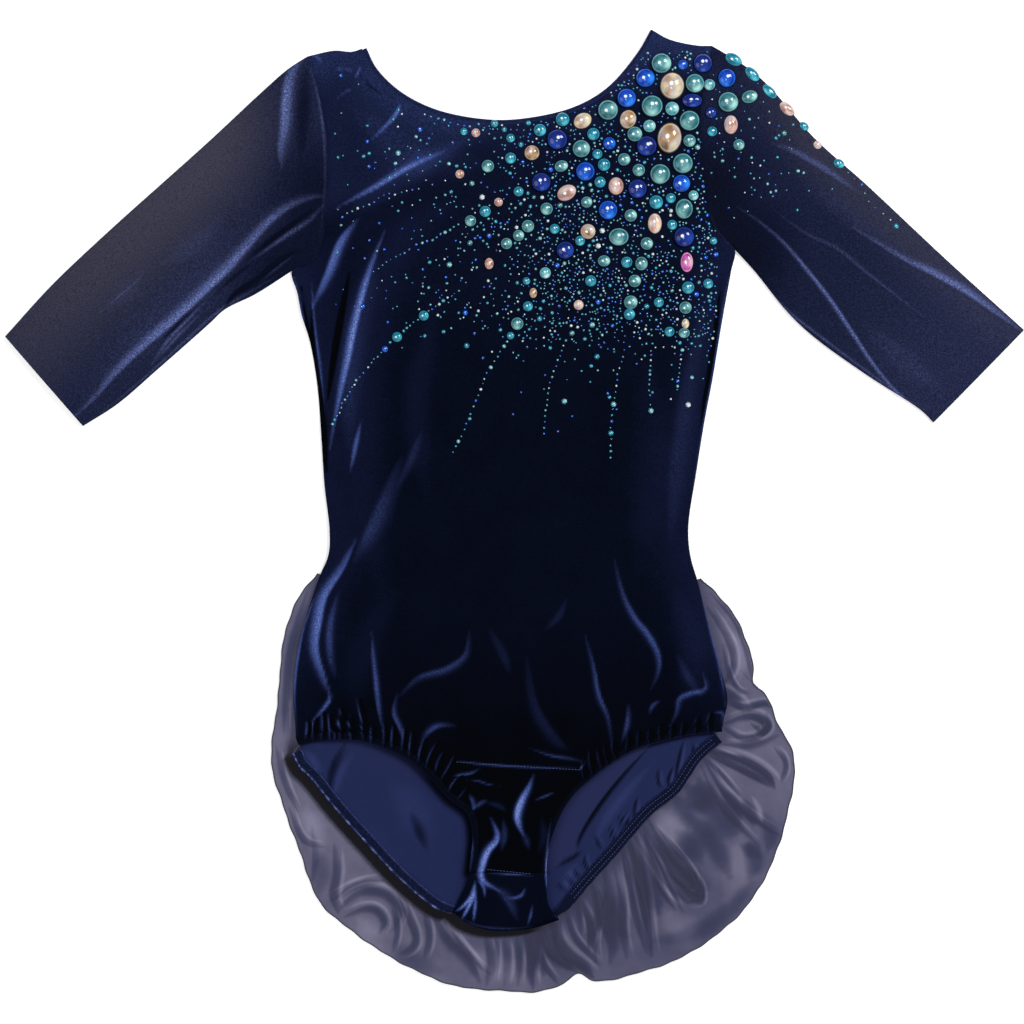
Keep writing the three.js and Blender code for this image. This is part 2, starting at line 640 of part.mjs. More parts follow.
const velvet = new THREE.MeshStandardMaterial({ color: 0x0b0f2e, roughness: 0.7, metalness: 0 });
const lining = new THREE.MeshStandardMaterial({ color: 0x232c56, roughness: 0.9, metalness: 0 });
const chiffon = new THREE.MeshStandardMaterial({ color: 0x4d4a63, roughness: 0.6, metalness: 0 });
const elastic = new THREE.MeshStandardMaterial({ color: 0x10142f, roughness: 0.8, metalness: 0 });

const leotard = new THREE.Group();
const piece = (name, geometry, material) => {
  const mesh = new THREE.Mesh(geometry, material);
  mesh.name = name;
  leotard.add(mesh);
};

const frontInset = FRONT_ELASTIC + SEAM_GAP;
const frontLegs = ["left", "right"].map((side, i) => {
  const leg = [FRONT_LEG_LEFT, FRONT_LEG_RIGHT][i];
  return {
    upper: legEdge(side, leg, frontInset, 0, CROTCH_START, GUSSET_SEAM_Y),
    lower: legEdge(side, leg, frontInset, CROTCH_START, 1, GUSSET_SEAM_Y),
  };
});
const crotchTop = (t) => frontLegs[0].upper(1).lerp(frontLegs[1].upper(1), t);
const frontBottom = threePart(
  [frontLegs[0].upper, crotchTop, (t) => frontLegs[1].upper(1 - t)],
  FRONT_GRID.columns,
  FRONT_GRID.crotch,
);
const frontPlan = bodyPlan(topEdgeOf(NECK_BINDING + SEAM_GAP, FRONT_GRID), frontBottom, FRONT_GRID);
const crotchPatch = patch(
  crotchTop,
  (u) => frontLegs[0].lower(1).lerp(frontLegs[1].lower(1), u).setY(GUSSET_SEAM_Y),
  frontLegs[0].lower,
  frontLegs[1].lower,
);
const crotchColumns = FRONT_GRID.crotch[1] - FRONT_GRID.crotch[0];
const crotchPlan = sample((v) => sample((u) => crotchPatch(u, v), crotchColumns), CROTCH_ROWS);
crotchPlan.at(-1).forEach((point) => point.setY(GUSSET_SEAM_Y));

const backEnd = GUSSET_BACK_Y + SEAM_GAP;
const backLegEdges = [
  legEdge("left", BACK_LEG_LEFT, BACK_ELASTIC_LEFT + SEAM_GAP, 0, BACK_SEAM_AT.left, backEnd),
  legEdge("right", BACK_LEG_RIGHT, BACK_ELASTIC_RIGHT + SEAM_GAP, 0, BACK_SEAM_AT.right, backEnd),
];
const backBottom = threePart(
  [
    backLegEdges[0],
    (t) => backLegEdges[0](1).lerp(backLegEdges[1](1), t),
    (t) => backLegEdges[1](1 - t),
  ],
  BACK_GRID.columns,
  BACK_GRID.crotch,
);
const backPlan = bodyPlan(topEdgeOf(BACK_NECK_DROP, BACK_GRID), backBottom, BACK_GRID);

const front = panel([frontPlan, crotchPlan], frontFloor, frontTop);
piece("front", withStones(front, FRONT_STONES, frontTop), velvet);
piece("back", panel([backPlan], backFloor, backTop), lining);
piece("gusset", gusset(), velvet);
piece("sleeve_left", sleeve("left", OVER_ARM_LEFT, UNDER_ARM_LEFT), velvet);
const sleeveRight = sleeve("right", OVER_ARM_RIGHT, UNDER_ARM_RIGHT);
piece("sleeve_right", withStones(sleeveRight, SLEEVE_STONES, sleeveTop), velvet);
piece("skirt", skirt(), chiffon);

const neckLine = frontPlan[0].slice(FRONT_GRID.neck[0], FRONT_GRID.neck[1] + 1);
piece("neck_binding", edging(neckLine, 1, NECK_BINDING, frontFloor), velvet);

// Each panel's leg edge, from the side seam to the crotch
const legLine = (plan, side, [first, second]) =>
  side === "left" ? plan.at(-1).slice(0, first + 1) : plan.at(-1).slice(second).reverse();

for (const side of ["left", "right"]) {
  const crotchEdge = crotchPlan.slice(1).map((row) => (side === "left" ? row[0] : row.at(-1)));
  const frontLine = [...legLine(frontPlan, side, FRONT_GRID.crotch), ...crotchEdge];
  const backLine = legLine(backPlan, side, BACK_GRID.crotch);
  const facing = -inward[side];
  const [backWidth, backWaves] = BACK_ELASTIC[side];
  const frontEdge = edging(frontLine, facing, FRONT_ELASTIC, frontFloor, FRONT_WAVES);
  piece(`leg_elastic_front_${side}`, frontEdge, elastic);
  piece(`leg_elastic_back_${side}`, edging(backLine, facing, backWidth, backFloor, backWaves), elastic);
}

export default leotard;
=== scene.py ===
"""A stretch-velvet leotard with a sheer back skirt and glued stones, laid flat on a pale table."""

import logging
import math
from dataclasses import dataclass, field
from enum import Enum
from functools import cached_property
from typing import Any, Callable, Iterable, Sequence

import bmesh
import bpy
import numpy as np
from mathutils import Matrix, Vector


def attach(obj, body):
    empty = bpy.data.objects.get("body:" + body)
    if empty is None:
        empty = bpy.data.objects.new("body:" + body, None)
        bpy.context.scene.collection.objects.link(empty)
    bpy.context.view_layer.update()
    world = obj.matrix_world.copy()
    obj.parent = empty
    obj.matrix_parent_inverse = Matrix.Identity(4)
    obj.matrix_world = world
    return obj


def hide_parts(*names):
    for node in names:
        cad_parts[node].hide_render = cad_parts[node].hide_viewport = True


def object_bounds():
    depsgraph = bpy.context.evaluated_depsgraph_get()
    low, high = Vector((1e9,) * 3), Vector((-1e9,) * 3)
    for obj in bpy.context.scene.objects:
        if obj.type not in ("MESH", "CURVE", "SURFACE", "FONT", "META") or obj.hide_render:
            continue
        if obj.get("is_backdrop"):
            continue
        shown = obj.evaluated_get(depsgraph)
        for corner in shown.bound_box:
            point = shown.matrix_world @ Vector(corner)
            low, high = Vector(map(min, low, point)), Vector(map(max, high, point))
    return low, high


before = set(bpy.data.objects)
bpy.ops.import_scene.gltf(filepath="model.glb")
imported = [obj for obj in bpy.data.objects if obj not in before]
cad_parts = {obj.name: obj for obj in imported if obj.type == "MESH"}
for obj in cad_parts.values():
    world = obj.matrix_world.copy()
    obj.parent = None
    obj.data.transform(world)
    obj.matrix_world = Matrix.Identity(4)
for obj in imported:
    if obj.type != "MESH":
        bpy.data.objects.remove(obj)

CAD_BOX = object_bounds()
MM = 0.001
LOG = logging.getLogger("leotard")

Pairs = Sequence[tuple[float, float]]
Path = tuple[tuple[float, float], ...]
Stops = Sequence[tuple[float, str]]
Inputs = dict[Any, Any] | None
Array = np.ndarray


def smooth(low: float, high: float, value: Array) -> Array:
    """Return a soft step from 0 at low to 1 at high."""
    t = np.clip((np.asarray(value, dtype=float) - low) / (high - low), 0.0, 1.0)
    return t * t * (3.0 - 2.0 * t)


def rounded(edge: Array, radius: float) -> Array:
    """Return a quarter round, 0 at the edge and 1 from the radius on."""
    return np.sqrt(np.clip(1.0 - (1.0 - np.clip(edge / radius, 0.0, 1.0)) ** 2, 0.0, 1.0))


def bell(distance: Array, width: float) -> Array:
    """Return a bell curve, 1 at no distance and low beyond the width."""
    return np.exp(-((distance / width) ** 2))


def mix(a: Array, b: Array, share: Array) -> Array:
    """Return points between a and b, where share holds one number for each."""
    share = np.asarray(share, dtype=float)[..., None]
    return a * (1.0 - share) + b * share


class Spline:
    """A smooth line in plan through a few points, in millimetres."""

    SAMPLES = 400

    def __init__(self, points: Pairs) -> None:
        """Keep the points and measure the line.

        Args:
            points: the places that the line passes, in order.
        """
        inner = np.asarray(points, dtype=float)
        first, last = 2 * inner[0] - inner[1], 2 * inner[-1] - inner[-2]
        self.points = np.vstack([first, inner, last])
        self.shares = np.linspace(0.0, 1.0, self.SAMPLES + 1)
        steps = np.hypot(*np.diff(self.at(self.shares), axis=0).T)
        self.reach = np.concatenate([[0.0], np.cumsum(steps)])
        self.length = float(self.reach[-1])

    def at(self, t: Array) -> Array:
        """Return the points at shares t of the table.

        Args:
            t: numbers from 0 at the first point to 1 at the last.

        Returns:
            One place for each number.
        """
        t = np.atleast_1d(np.asarray(t, dtype=float))
        scaled = np.clip(t, 0.0, 1.0) * (len(self.points) - 3)
        index = np.minimum(scaled.astype(int), len(self.points) - 4)
        w = (scaled - index)[:, None]
        p0, p1, p2, p3 = (self.points[index + k] for k in range(4))
        pairs = ((p0, p1), (p1, p2), (p2, p3))
        d0, d1, d2 = (np.sqrt(np.linalg.norm(b - a, axis=1))[:, None] for a, b in pairs)
        start = ((p1 - p0) / d0 - (p2 - p0) / (d0 + d1) + (p2 - p1) / d1) * d1
        end = ((p2 - p1) / d1 - (p3 - p1) / (d1 + d2) + (p3 - p2) / d2) * d1
        square, cube = w * w, w * w * w
        return (
            p1 * (2 * cube - 3 * square + 1)
            + start * (cube - 2 * square + w)
            + p2 * (3 * square - 2 * cube)
            + end * (cube - square)
        )

    def even(self, share: Array) -> Array:
        """Return the table's share for each share of the length."""
        return np.interp(np.asarray(share) * self.length, self.reach, self.shares)

    def beside(self, t: Array, distance: Array) -> Array:
        """Return points moved to the left of the line's direction.

        Args:
            t: shares of the table.
            distance: how far each point moves, negative to the right.

        Returns:
            One place for each share.
        """
        t = np.atleast_1d(np.asarray(t, dtype=float))
        step = 1e-3
        along = self.at(np.minimum(t + step, 1.0)) - self.at(np.maximum(t - step, 0.0))
        along /= np.linalg.norm(along, axis=1)[:, None]
        normal = np.column_stack([-along[:, 1], along[:, 0]])
        return self.at(t) + normal * np.asarray(distance, dtype=float).reshape(-1, 1)

    def line(self, count: int) -> Array:
        """Return count + 1 points along the line."""
        return self.at(np.linspace(0.0, 1.0, count + 1))


def nearest(line: Array, places: Array) -> tuple[Array, Array, Array]:
    """Measure places against a broken line.

    Args:
        line: the line's points.
        places: the points to measure.

    Returns:
        The distance, the share of the line at the nearest point, and which side, 1 on the left.
    """
    best = np.full(len(places), np.inf)
    share = np.zeros(len(places))
    side = np.ones(len(places))
    count = len(line) - 1
    for i in range(count):
        along = line[i + 1] - line[i]
        off = places - line[i]
        t = np.clip(off @ along / max(float(along @ along), 1e-12), 0.0, 1.0)
        distance = np.linalg.norm(off - t[:, None] * along, axis=1)
        closer = distance < best
        best = np.where(closer, distance, best)
        share = np.where(closer, (i + t) / count, share)
        turn = along[0] * off[:, 1] - along[1] * off[:, 0]
        side = np.where(closer, np.sign(turn), side)
    return best, share, side


def inside(outline: Array, places: Array) -> Array:
    """Return for each place whether it lies within the closed outline.

    Args:
        outline: its corners, in order.
        places: the points to test.

    Returns:
        A truth value for each place.
    """
    found = np.zeros(len(places), dtype=bool)
    previous = outline[-1]
    for point in outline:
        crosses = (point[1] > places[:, 1]) != (previous[1] > places[:, 1])
        rise = previous[1] - point[1]
        at = (previous[0] - point[0]) * (places[:, 1] - point[1]) / (rise if rise else 1e-9) + point[0]
        found ^= crosses & (places[:, 0] < at)
        previous = point
    return found


@dataclass(frozen=True)
class Stroke:
    """A fold of the cloth: a soft ridge, with painted highlight on its pile where its tone is above 0 and
    painted shade where it is below.

    Attributes:
        width: half of its width, in millimetres.
        height: how far it stands up; negative for a trough.
        tone: its painted light, from -1 to 1: painted shade below 0, painted highlight above.
        path: the places that it passes.
        lean: from -1 to 1, which side falls off more softly; 1 is the left of its direction.
    """

    EDGE = 2.7
    BREADTH = 1.08

    width: float
    height: float
    tone: float
    path: Path
    lean: float = 0.0

    @cached_property
    def line(self) -> Array:
        """Return the path as a fine line."""
        if len(self.path) == 2:
            return np.array(self.path)
        return Spline(self.path).line(4 * (len(self.path) - 1))

    def twin(self, offset: float, width: float, tone: float) -> "Stroke":
        """Return a finer stroke that runs beside this one.

        Args:
            offset: how far it lies to the left of this one's direction.
            width: its own half width.
            tone: how light its painted highlight is.

        Returns:
            The second stroke.
        """
        moved = Spline(self.path).beside(np.linspace(0.03, 0.97, len(self.path) + 1), offset)
        return Stroke(width, 0.5, tone, tuple(map(tuple, moved)))

    def shape(self, places: Array) -> Array:
        """Return how much of the stroke each place gets, from 0 to 1.

        Args:
            places: the places, in millimetres.

        Returns:
            A share for each place.
        """
        got = np.zeros(len(places))
        line = self.line
        reach = 3.5 * self.width
        low, high = line.min(axis=0) - reach, line.max(axis=0) + reach
        close = np.all((places > low) & (places < high), axis=1)
        if not close.any():
            return got
        distance, share, side = nearest(line, places[close])
        taper = 0.22 + 0.78 * np.sin(np.pi * np.clip(share, 0.02, 0.98)) ** 0.7
        width = self.width * taper * (1.0 + 0.8 * self.lean * side)
        got[close] = np.exp(-((distance / (self.BREADTH * width)) ** self.EDGE)) * taper
        return got


def read_paths(table: str) -> tuple[Path, ...]:
    """Read paths from a table, where each is a row of x,y and a semicolon parts them."""
    rows = [[place.split(",") for place in row.split()] for row in table.split(";")]
    return tuple(tuple((float(x), float(y)) for x, y in row) for row in rows)


def read_strokes(table: str) -> tuple[Stroke, ...]:
    """Read strokes from a table, where half width/height/tone/lean stand before each path.

    Args:
        table: the strokes as text, parted by semicolons.

    Returns:
        The strokes, in order.
    """
    rows = [row.split(maxsplit=1) for row in table.split(";")]
    paths = read_paths(";".join(path for _, path in rows))
    forms = [[float(part) for part in form.split("/")] for form, _ in rows]
    return tuple(Stroke(*form[:3], path, form[3]) for form, path in zip(forms, paths))


def press(strokes: Iterable[Stroke], places: Array) -> tuple[Array, Array]:
    """Sum the strokes at the places.

    Args:
        strokes: the folds and marks.
        places: where to measure them.

    Returns:
        The height in millimetres, and the painted tone from -1 to 1 (painted shade below 0, painted highlight
        above), of each place.
    """
    height = np.zeros(len(places))
    dark = np.ones(len(places))
    light = np.ones(len(places))
    for stroke in strokes:
        share = stroke.shape(places)
        height += stroke.height * share
        if stroke.tone > 0:
            light *= 1.0 - stroke.tone * share
        else:
            dark *= 1.0 + stroke.tone * share
    return height, (1.0 - light) - (1.0 - dark)


class Cut:
    """The garment's outlines, in millimetres, as the pattern pieces lie on the table."""

    SIDES = (
        (-155.3, 341.6, 148.0, 349.5), (-150.0, 325.0, 143.6, 330.0), (-144.8, 304.5, 140.5, 308.0),
        (-140.4, 277.0, 139.0, 285.0), (-140.0, 250.0, 141.0, 258.0), (-141.8, 228.0, 143.3, 232.0),
        (-143.5, 203.0, 146.5, 218.0), (-148.0, 192.0, 151.0, 210.0), (-155.0, 185.0, 157.0, 203.0),
        (-166.9, 180.8, 165.2, 196.7), (-162.8, 164.0, 162.5, 181.0), (-159.7, 148.0, 159.0, 162.0),
        (-153.5, 128.0, 154.6, 137.0), (-147.9, 95.0, 148.5, 100.0), (-144.8, 55.0, 142.6, 69.0),
        (-142.5, 20.0, 136.0, 28.0), (-138.6, -15.0, 130.2, -12.0), (-139.5, -32.0, 131.8, -33.0),
        (-146.4, -49.0, 137.2, -52.0), (-156.5, -80.0, 144.0, -79.0), (-163.5, -111.0, 152.5, -111.0),
        (-165.8, -138.0, 159.5, -140.0), (-163.8, -162.0, 157.2, -155.0), (-162.4, -174.4, 156.3, -165.0),
    )
    ARMPIT = 9 / 23
    GUSSET_Y = -270.0
    CROTCH_START = 0.7

    def __init__(self) -> None:
        """Draw each outline."""
        rows = np.array(self.SIDES)
        self.left = Spline(rows[:, :2])
        self.right = Spline(rows[:, 2:])
        self.neck = Spline([
            (-111, 349), (-103, 333), (-85, 315.5), (-58, 302), (-20, 294.8), (8, 295.7), (45, 304.4),
            (70, 319.3), (92.3, 345.4), (101.8, 362),
        ])
        self.shoulder_left = ((-155.3, 341.6), (-135, 345.8), (-122, 345), (-111, 349))
        self.shoulder_right = ((101.8, 362), (116, 354.3), (137, 349.7), (148, 349.5))
        self.front_legs = (
            Spline([
                (-162.4, -174.4), (-148, -170.5), (-115, -171), (-92.6, -178), (-77.6, -185.6),
                (-63.4, -199), (-50, -214), (-35, -226.5), (-31.6, -242), (-33, -262), (-34, self.GUSSET_Y),
            ]),
            Spline([
                (156.3, -165), (132.6, -167), (111, -172), (92.4, -177.5), (75, -187), (58, -200),
                (45, -212), (36.4, -225), (30.8, -238), (25.6, -255), (24.2, self.GUSSET_Y),
            ]),
        )
        self.back_legs = (
            Spline([
                (-165.8, -180), (-161, -190), (-152, -199), (-133.5, -222), (-110.6, -247.5), (-84.7, -275),
                (-57.5, -297), (-47.4, -301),
            ]),
            Spline([
                (156.3, -172), (141, -185), (122.6, -211), (104, -226), (75, -259), (56, -280), (35.5, -305),
            ]),
        )
        self.crotch = Spline([
            (-46, -299), (-34.5, -308), (-18.7, -313), (0, -313), (15.8, -311), (33.4, -305),
        ])
        self.gusset_sides = (
            Spline([(-34, self.GUSSET_Y), (-36.6, -279), (-41, -288), (-46, -299)]),
            Spline([(24.2, self.GUSSET_Y), (24, -283), (25.5, -294), (33.4, -305)]),
        )
        self.over_arms = (
            Spline([
                (-155.3, 341.6), (-170, 332), (-190, 314.4), (-229, 278), (-307, 208), (-347, 170),
                (-382, 131.6),
            ]),
            Spline([
                (148, 349.5), (172, 335), (190, 320), (224.6, 280.6), (264.8, 244.5), (325, 188),
                (382, 136.5),
            ]),
        )
        self.under_arms = (
            Spline([
                (-166.9, 180.8), (-194, 163.5), (-217, 152), (-229, 141), (-268, 106.5), (-297.6, 81),
                (-323.5, 64.4),
            ]),
            Spline([
                (165.2, 196.7), (180.4, 180), (204.4, 150), (224.6, 131), (265, 102), (305, 76), (314, 67),
            ]),
        )
        self.hem = Spline([
            (-147.5, -46), (-160, -61.5), (-170, -84), (-174, -103.5), (-177, -139), (-182, -188),
            (-173.6, -219), (-160, -256.5), (-146, -292), (-119, -316), (-83, -339), (-44.6, -355),
            (-10, -358.6), (14, -359.6), (36, -354), (47, -345.5), (60, -351.5), (97, -344), (130, -331),
            (168, -302), (188.6, -272), (203, -232), (209.4, -185), (197, -158), (188, -137), (179.5, -129),
            (178, -111), (166, -80), (152, -62), (139, -50),
        ])
        self.skirt_seam = Spline([(-143.5, -47.5), (-70, -56), (0, -59), (70, -57), (134.5, -51)])
        below = np.linspace(self.ARMPIT, 1.0, 60)
        self.side_seams = (self.left.at(below), self.right.at(below))
        self.edge = np.vstack(
            [self.side_seams[0], self.back_legs[0].line(40), self.crotch.line(16),
             self.back_legs[1].line(40)[::-1], self.side_seams[1][::-1]]
        )
        armhole = np.linspace(0.0, self.ARMPIT, 50)
        self.armholes = (self.left.at(armhole), self.right.at(armhole))
        self.silhouette = (
            self.neck.line(50), Spline(self.shoulder_left).line(8), Spline(self.shoulder_right).line(8),
            *(arm.line(40) for arm in (*self.over_arms, *self.under_arms)), *self.side_seams,
        )


CUT = Cut()


class Marks:
    """The folds with their painted highlights and painted shade, listed where they lie, in millimetres, as
    read_strokes takes them.
    """

    BODY = read_strokes("""
        3.6/2.4/0.6/0.5 -118,219 -130.7,203.1 -139.5,181.1 -151,155;
        2.7/1.6/0.66/-0.5 -97,210 -106.5,185.5 -113.1,163.5 -119.7,137.1 -124.1,115.1 -130.7,86.5 -138,48;
        2/-0.8/-0.55/0 -124,178 -133,130 -140,84;
        2.4/-0.8/-0.6/0 -152,150 -150,110 -144,70 -141,30;
        9/0.6/0.16/0 -104,190 -116,150 -124,100 -124,50;
        1.8/0.8/0.46/0 -115,68 -119,50 -123,30;
        3/0.8/0.2/0.3 -70,60 -78,40 -88,18;
        2/1/0.52/-0.5 -53,269.5 -77.9,258.1 -104.3,242.7 -132,228;
        9/0.6/0.14/0 -36,278 -80,252 -124,224;
        1.4/0.7/0.46/0 -85.6,306 -89,297.7 -106.5,279;
        0.7/0.6/0.42/0 -115,333.5 -117.4,329 -119.6,325;
        0.6/0.4/0.26/0 -121,331 -127,331 -133.6,332;
        0.9/0.4/0.18/0 -120,317 -126,315 -134,309;
        0.8/0.4/-0.34/0 -112,322 -106,317 -97,310;
        0.8/0.4/0.22/0 -110,320 -104,315 -96,309;
        0.9/0.5/0.3/0 -154,345 -148,341 -144,336;
        12/0.4/0.08/0 -120,300 -70,262 -20,262;
        6/1/0.24/0.5 -86,39 -104,-4 -120,-36;
        3.8/2.8/0.6/-0.7 -119,-22 -128,-42 -141.6,-64 -145.6,-82 -148,-102 -141.6,-125 -137.3,-137.4;
        3/1.6/0.34/0 -132,-60 -138,-84 -138,-108 -134,-124;
        1.7/1.4/0.56/-0.3 -138,-133 -138,-140 -142.8,-147.5 -152,-157;
        1.2/0.8/0.56/0 -149,-62 -158,-86 -163,-112 -165,-137 -163,-168;
        2/1.4/0.52/0.6 -107.4,-90 -105.3,-119.7 -102.8,-142.5 -99,-165;
        2/1.3/0.46/0.5 -88.3,-136 -90.9,-150.1 -85.8,-162.8 -84,-170;
        2.8/1.4/0.36/0.5 -34.3,-90 -37.6,-107 -51.6,-117.1 -71.9,-123.5 -87,-138;
        2.4/1.3/0.44/-0.5 -44,-160.2 -56.7,-160.7 -64.3,-165.3 -70,-173;
        3/0.6/0.16/0 -18.6,-88 -8.5,-107 -3.4,-121;
        2.4/0.6/0.16/0 39,-66 32.1,-79.1 23,-88;
        4/0.8/0.2/-0.5 9.3,-110 16.9,-147.5 32.1,-170.4 40,-178;
        2.6/1.8/0.46/-0.4 75,-36 81.5,-61.4 90.4,-79.1 100.5,-91.8 108.1,-107 108.1,-119.7 102.6,-132;
        2/1.4/0.44/-0.6 53,-92 60,-117.1 63.8,-137.4 70.1,-152.6 73.6,-176;
        2/1.2/0.42/0.4 85,-143 84,-157.7 80,-172;
        1.6/0.8/0.4/0.4 109,-141 103.1,-144.5 100.6,-151.5;
        2.2/1.2/0.44/0.4 141.1,-120 142.6,-132.3 131,-135.4 122.9,-139.9 120.8,-150.1 116,-160;
        3/0.8/0.18/0 122,-108 130,-124 140,-138;
        1.2/0.8/0.46/0 140,-62 147,-90 154,-118 158.5,-150;
        1.4/0.8/0.36/0 149,-150 156,-151 155,-162;
        7/0.8/0.14/0.4 140,150 128,90 120,30 116,-20;
        14/0.4/0.07/0 100,110 104,40 92,-40;
        10/0.4/0.07/0 -60,150 -74,80 -66,10;
        16/0.4/0.08/0 -50,230 -88,200 -112,120 -110,30 -100,-60;
        12/0.4/0.08/0 -90,-60 -116,-110 -120,-150;
        10/0.4/0.07/0 120,-60 132,-100 128,-150;
        2.6/0.6/0.3/0 -144,262 -145,235 -145,208;
        2.4/0.6/0.46/0 -165,176 -160.5,150 -154.5,113 -149.6,80 -145,30 -139.5,-14;
        0.9/-0.4/-0.7/0 -160,170 -155.5,140 -149.5,106 -145,70 -141,26;
        1.2/0.6/0.4/0 -152,172 -150,140 -145.5,106 -141,60;
        1.4/0.4/0.36/0 160,176 156.4,150 150,108 143,70 136,26 130,-12;
        1.2/-0.4/-0.5/0 154,170 151,140 145,100 139,64
    """)
    CROTCH = read_strokes("""
        3.3/2.6/0.92/0.3 13.8,-197.4 10.1,-206.1 5.3,-214.7 2.3,-222.4 1.5,-229.1 3.4,-235.8 6.3,-242;
        2.4/0.6/0.3/0 5,-238 9,-246 11,-253;
        3/2.4/0.9/-0.3 -17.6,-229 -14.7,-234.8 -12.4,-241.5 -13.8,-247.2 -18.1,-252 -21.4,-257.8
            -23.4,-264.5 -24.8,-270.2 -22.9,-276 -17.6,-279.8 -11,-283.5;
        2.4/1/0.36/0 -8.5,-230 -7.5,-242 -10,-254;
        1.3/1.2/0.76/0 -29.6,-276 -32.9,-287.4 -38.7,-295.1 -45,-299;
        1.5/1.4/0.8/0 -29.1,-276.9 -30.5,-286.5 -35.8,-298 -40.1,-305.6;
        1.3/1.2/0.7/0 -28.6,-284 -29.6,-296 -30.8,-308;
        1.1/1/0.6/0 -27.7,-275 -22.9,-281.7 -22.4,-289;
        1.5/1/0.5/0.3 8,-281 5.5,-286 1,-288.4 -4.5,-288.4;
        3.4/0.8/0.28/0.3 -14.8,-280.6 -6,-289.5 1.7,-305;
        1.1/0.6/0.46/0 13.4,-294 12,-302 9.5,-310;
        1/0.8/0.52/0 14.8,-215.9 22.6,-212.8 30.4,-209.7;
        1.3/0.8/0.52/0.3 -46.4,-197.9 -40.6,-197 -32,-195.6 -25.6,-191.8;
        0.8/0.5/0.5/0 -36.4,-200.4 -27.2,-201.3 -21.4,-203.4 -10.9,-205.3;
        1.8/0.8/0.46/0.3 -34.5,-211 -31.5,-217 -31,-224;
        1.8/0.8/0.4/0.3 -20,-215 -26,-218 -32,-223;
        2/0.8/0.22/0 -22,-217 -12,-220 -6,-224;
        1/-0.8/0.5/0 -45,-186 -26.2,-188.6 14.3,-191.1 50,-191.6;
        1.2/0.7/0.46/0.3 11,-177 28,-182.8 40,-184.6 53,-187.2;
        1.2/0.7/0.5/0 53,-186.4 51.6,-190 48,-193.2;
        3/0.5/0.16/0 20,-228 22,-242 18,-256;
        1.2/0.9/0.66/0 27.4,-230 24.6,-250 23.6,-268 26.5,-289 32,-305;
        1.2/0.8/0.44/0 -33,-236 -31.6,-252 -33.4,-270;
        0.8/-0.5/0.52/0 -21,-270.2 -4,-271 14,-272.4;
        0.9/0.3/0.34/0 -44,-300.5 -30,-309 -4,-312 16,-310
    """)
    SLEEVE_LEFT = read_strokes("""
        4.4/2.4/0.6/0.35 -157.1,342 -165.9,332.9 -170.3,321.9 -172.5,304.3 -173.6,286.7 -175.8,269.1
            -174.7,258.1;
        5/0.6/-0.22/0 -156,330 -158,300 -160,268;
        4/3/0.62/-0.6 -144,235.9 -150,235.2 -165.9,229.5 -183.5,216.3 -198.9,198.7 -218.7,176.7 -236.3,159.1
            -253.9,143.7 -275.9,125 -297.9,104.1 -313.3,86.5 -328,72;
        15/1/0.12/0 -170,232 -206,200 -246,162 -286,126 -318,94;
        2.2/2/0.56/-0.4 -142.6,230.5 -147,225 -152.7,218.5 -165.9,209.7 -187.9,195.4 -209.9,178.9
            -223.1,166.8 -234.1,155.8 -249.5,139.3 -262.7,123.9 -272,110;
        2.4/-1/-0.55/0 -152,226 -176,208 -204,184 -226,165 -246,146 -262,131;
        2/-0.8/-0.45/0 -163,196 -176.9,187.7 -192.3,174 -209.9,163 -219,150;
        1.2/0.8/0.34/0 -165.9,192.1 -183.5,178.9 -199,167.9;
        1.2/0.8/0.34/0 -236,148 -254,130 -268,114;
        0.8/0.4/0.22/0 -276,181 -284,172 -298,160 -312,147;
        1/0.6/0.3/0 -172,181 -196,166 -220,152 -246,129 -284,95 -318,68;
        7/1.2/0.14/0 -278.1,181.1 -291.3,165.7 -308.9,150.3;
        8/1.2/0.16/0 -218.7,220.7 -242.9,198.7 -264,186;
        1.1/0.6/0.3/0 -155.6,341 -148,316 -142.8,280 -142.2,240 -146,206
    """)
    SLEEVE_RIGHT = read_strokes("""
        2.8/1.8/0.46/0.3 193.8,275.9 210,269.2 228.9,258.4 245.1,247.6 258.6,238.1;
        3.2/2.6/0.56/0.4 253.2,212.5 291,189.6 315.2,177.4 336.8,165.3 358.4,150.5 381,134.3;
        1.7/1.5/0.6/-0.3 166.8,228.7 183,217.9 201.9,201.7 218.1,182.8 237,158.6 253.2,134.3 269.4,110
            285.6,91.1 298,80;
        1.4/1/0.26/0.4 191.1,228.7 215.4,209.8 242.4,196.3 258.6,182.8 282.9,163.9 307.1,145.1;
        1.1/0.9/0.38/0 145.3,228.7 150.7,212.5 164.2,196.3 183,174.7 201.9,153.2 228.9,131.6 261.3,107.3
            288.3,88.4 307.1,76.3;
        8/0.8/0.1/0 212,252 250,224 290,196;
        8/0.8/0.1/0 262,140 290,114 318,92
    """)
    LINING = read_strokes("""
        2.8/-1.2/-0.62/0.6 -127,-172 -137,-192 -139.6,-212;
        3.2/1/0.28/0 -121,-180 -132,-198 -135,-214;
        3.4/0.8/0.24/0 -158,-178 -150,-187 -146,-200;
        3.6/-1/-0.55/0.3 -77.5,-226 -72,-240 -66.5,-253;
        12/0.8/0.16/0 -92,-204 -76,-224 -66,-250;
        10/0.8/0.1/0 -132,-226 -108,-252 -84,-274;
        1.6/-0.7/-0.95/0.5 98,-179 83.7,-193.8 62.3,-220.6 47.8,-245.1 46.2,-253.5;
        1.6/-0.6/-0.84/0.3 50,-255 42,-259 30,-266;
        4/1.6/0.26/0 100,-192 84,-210 68,-231 59,-248;
        3/1.2/0.34/0 46,-264 40,-274 36,-286
    """)
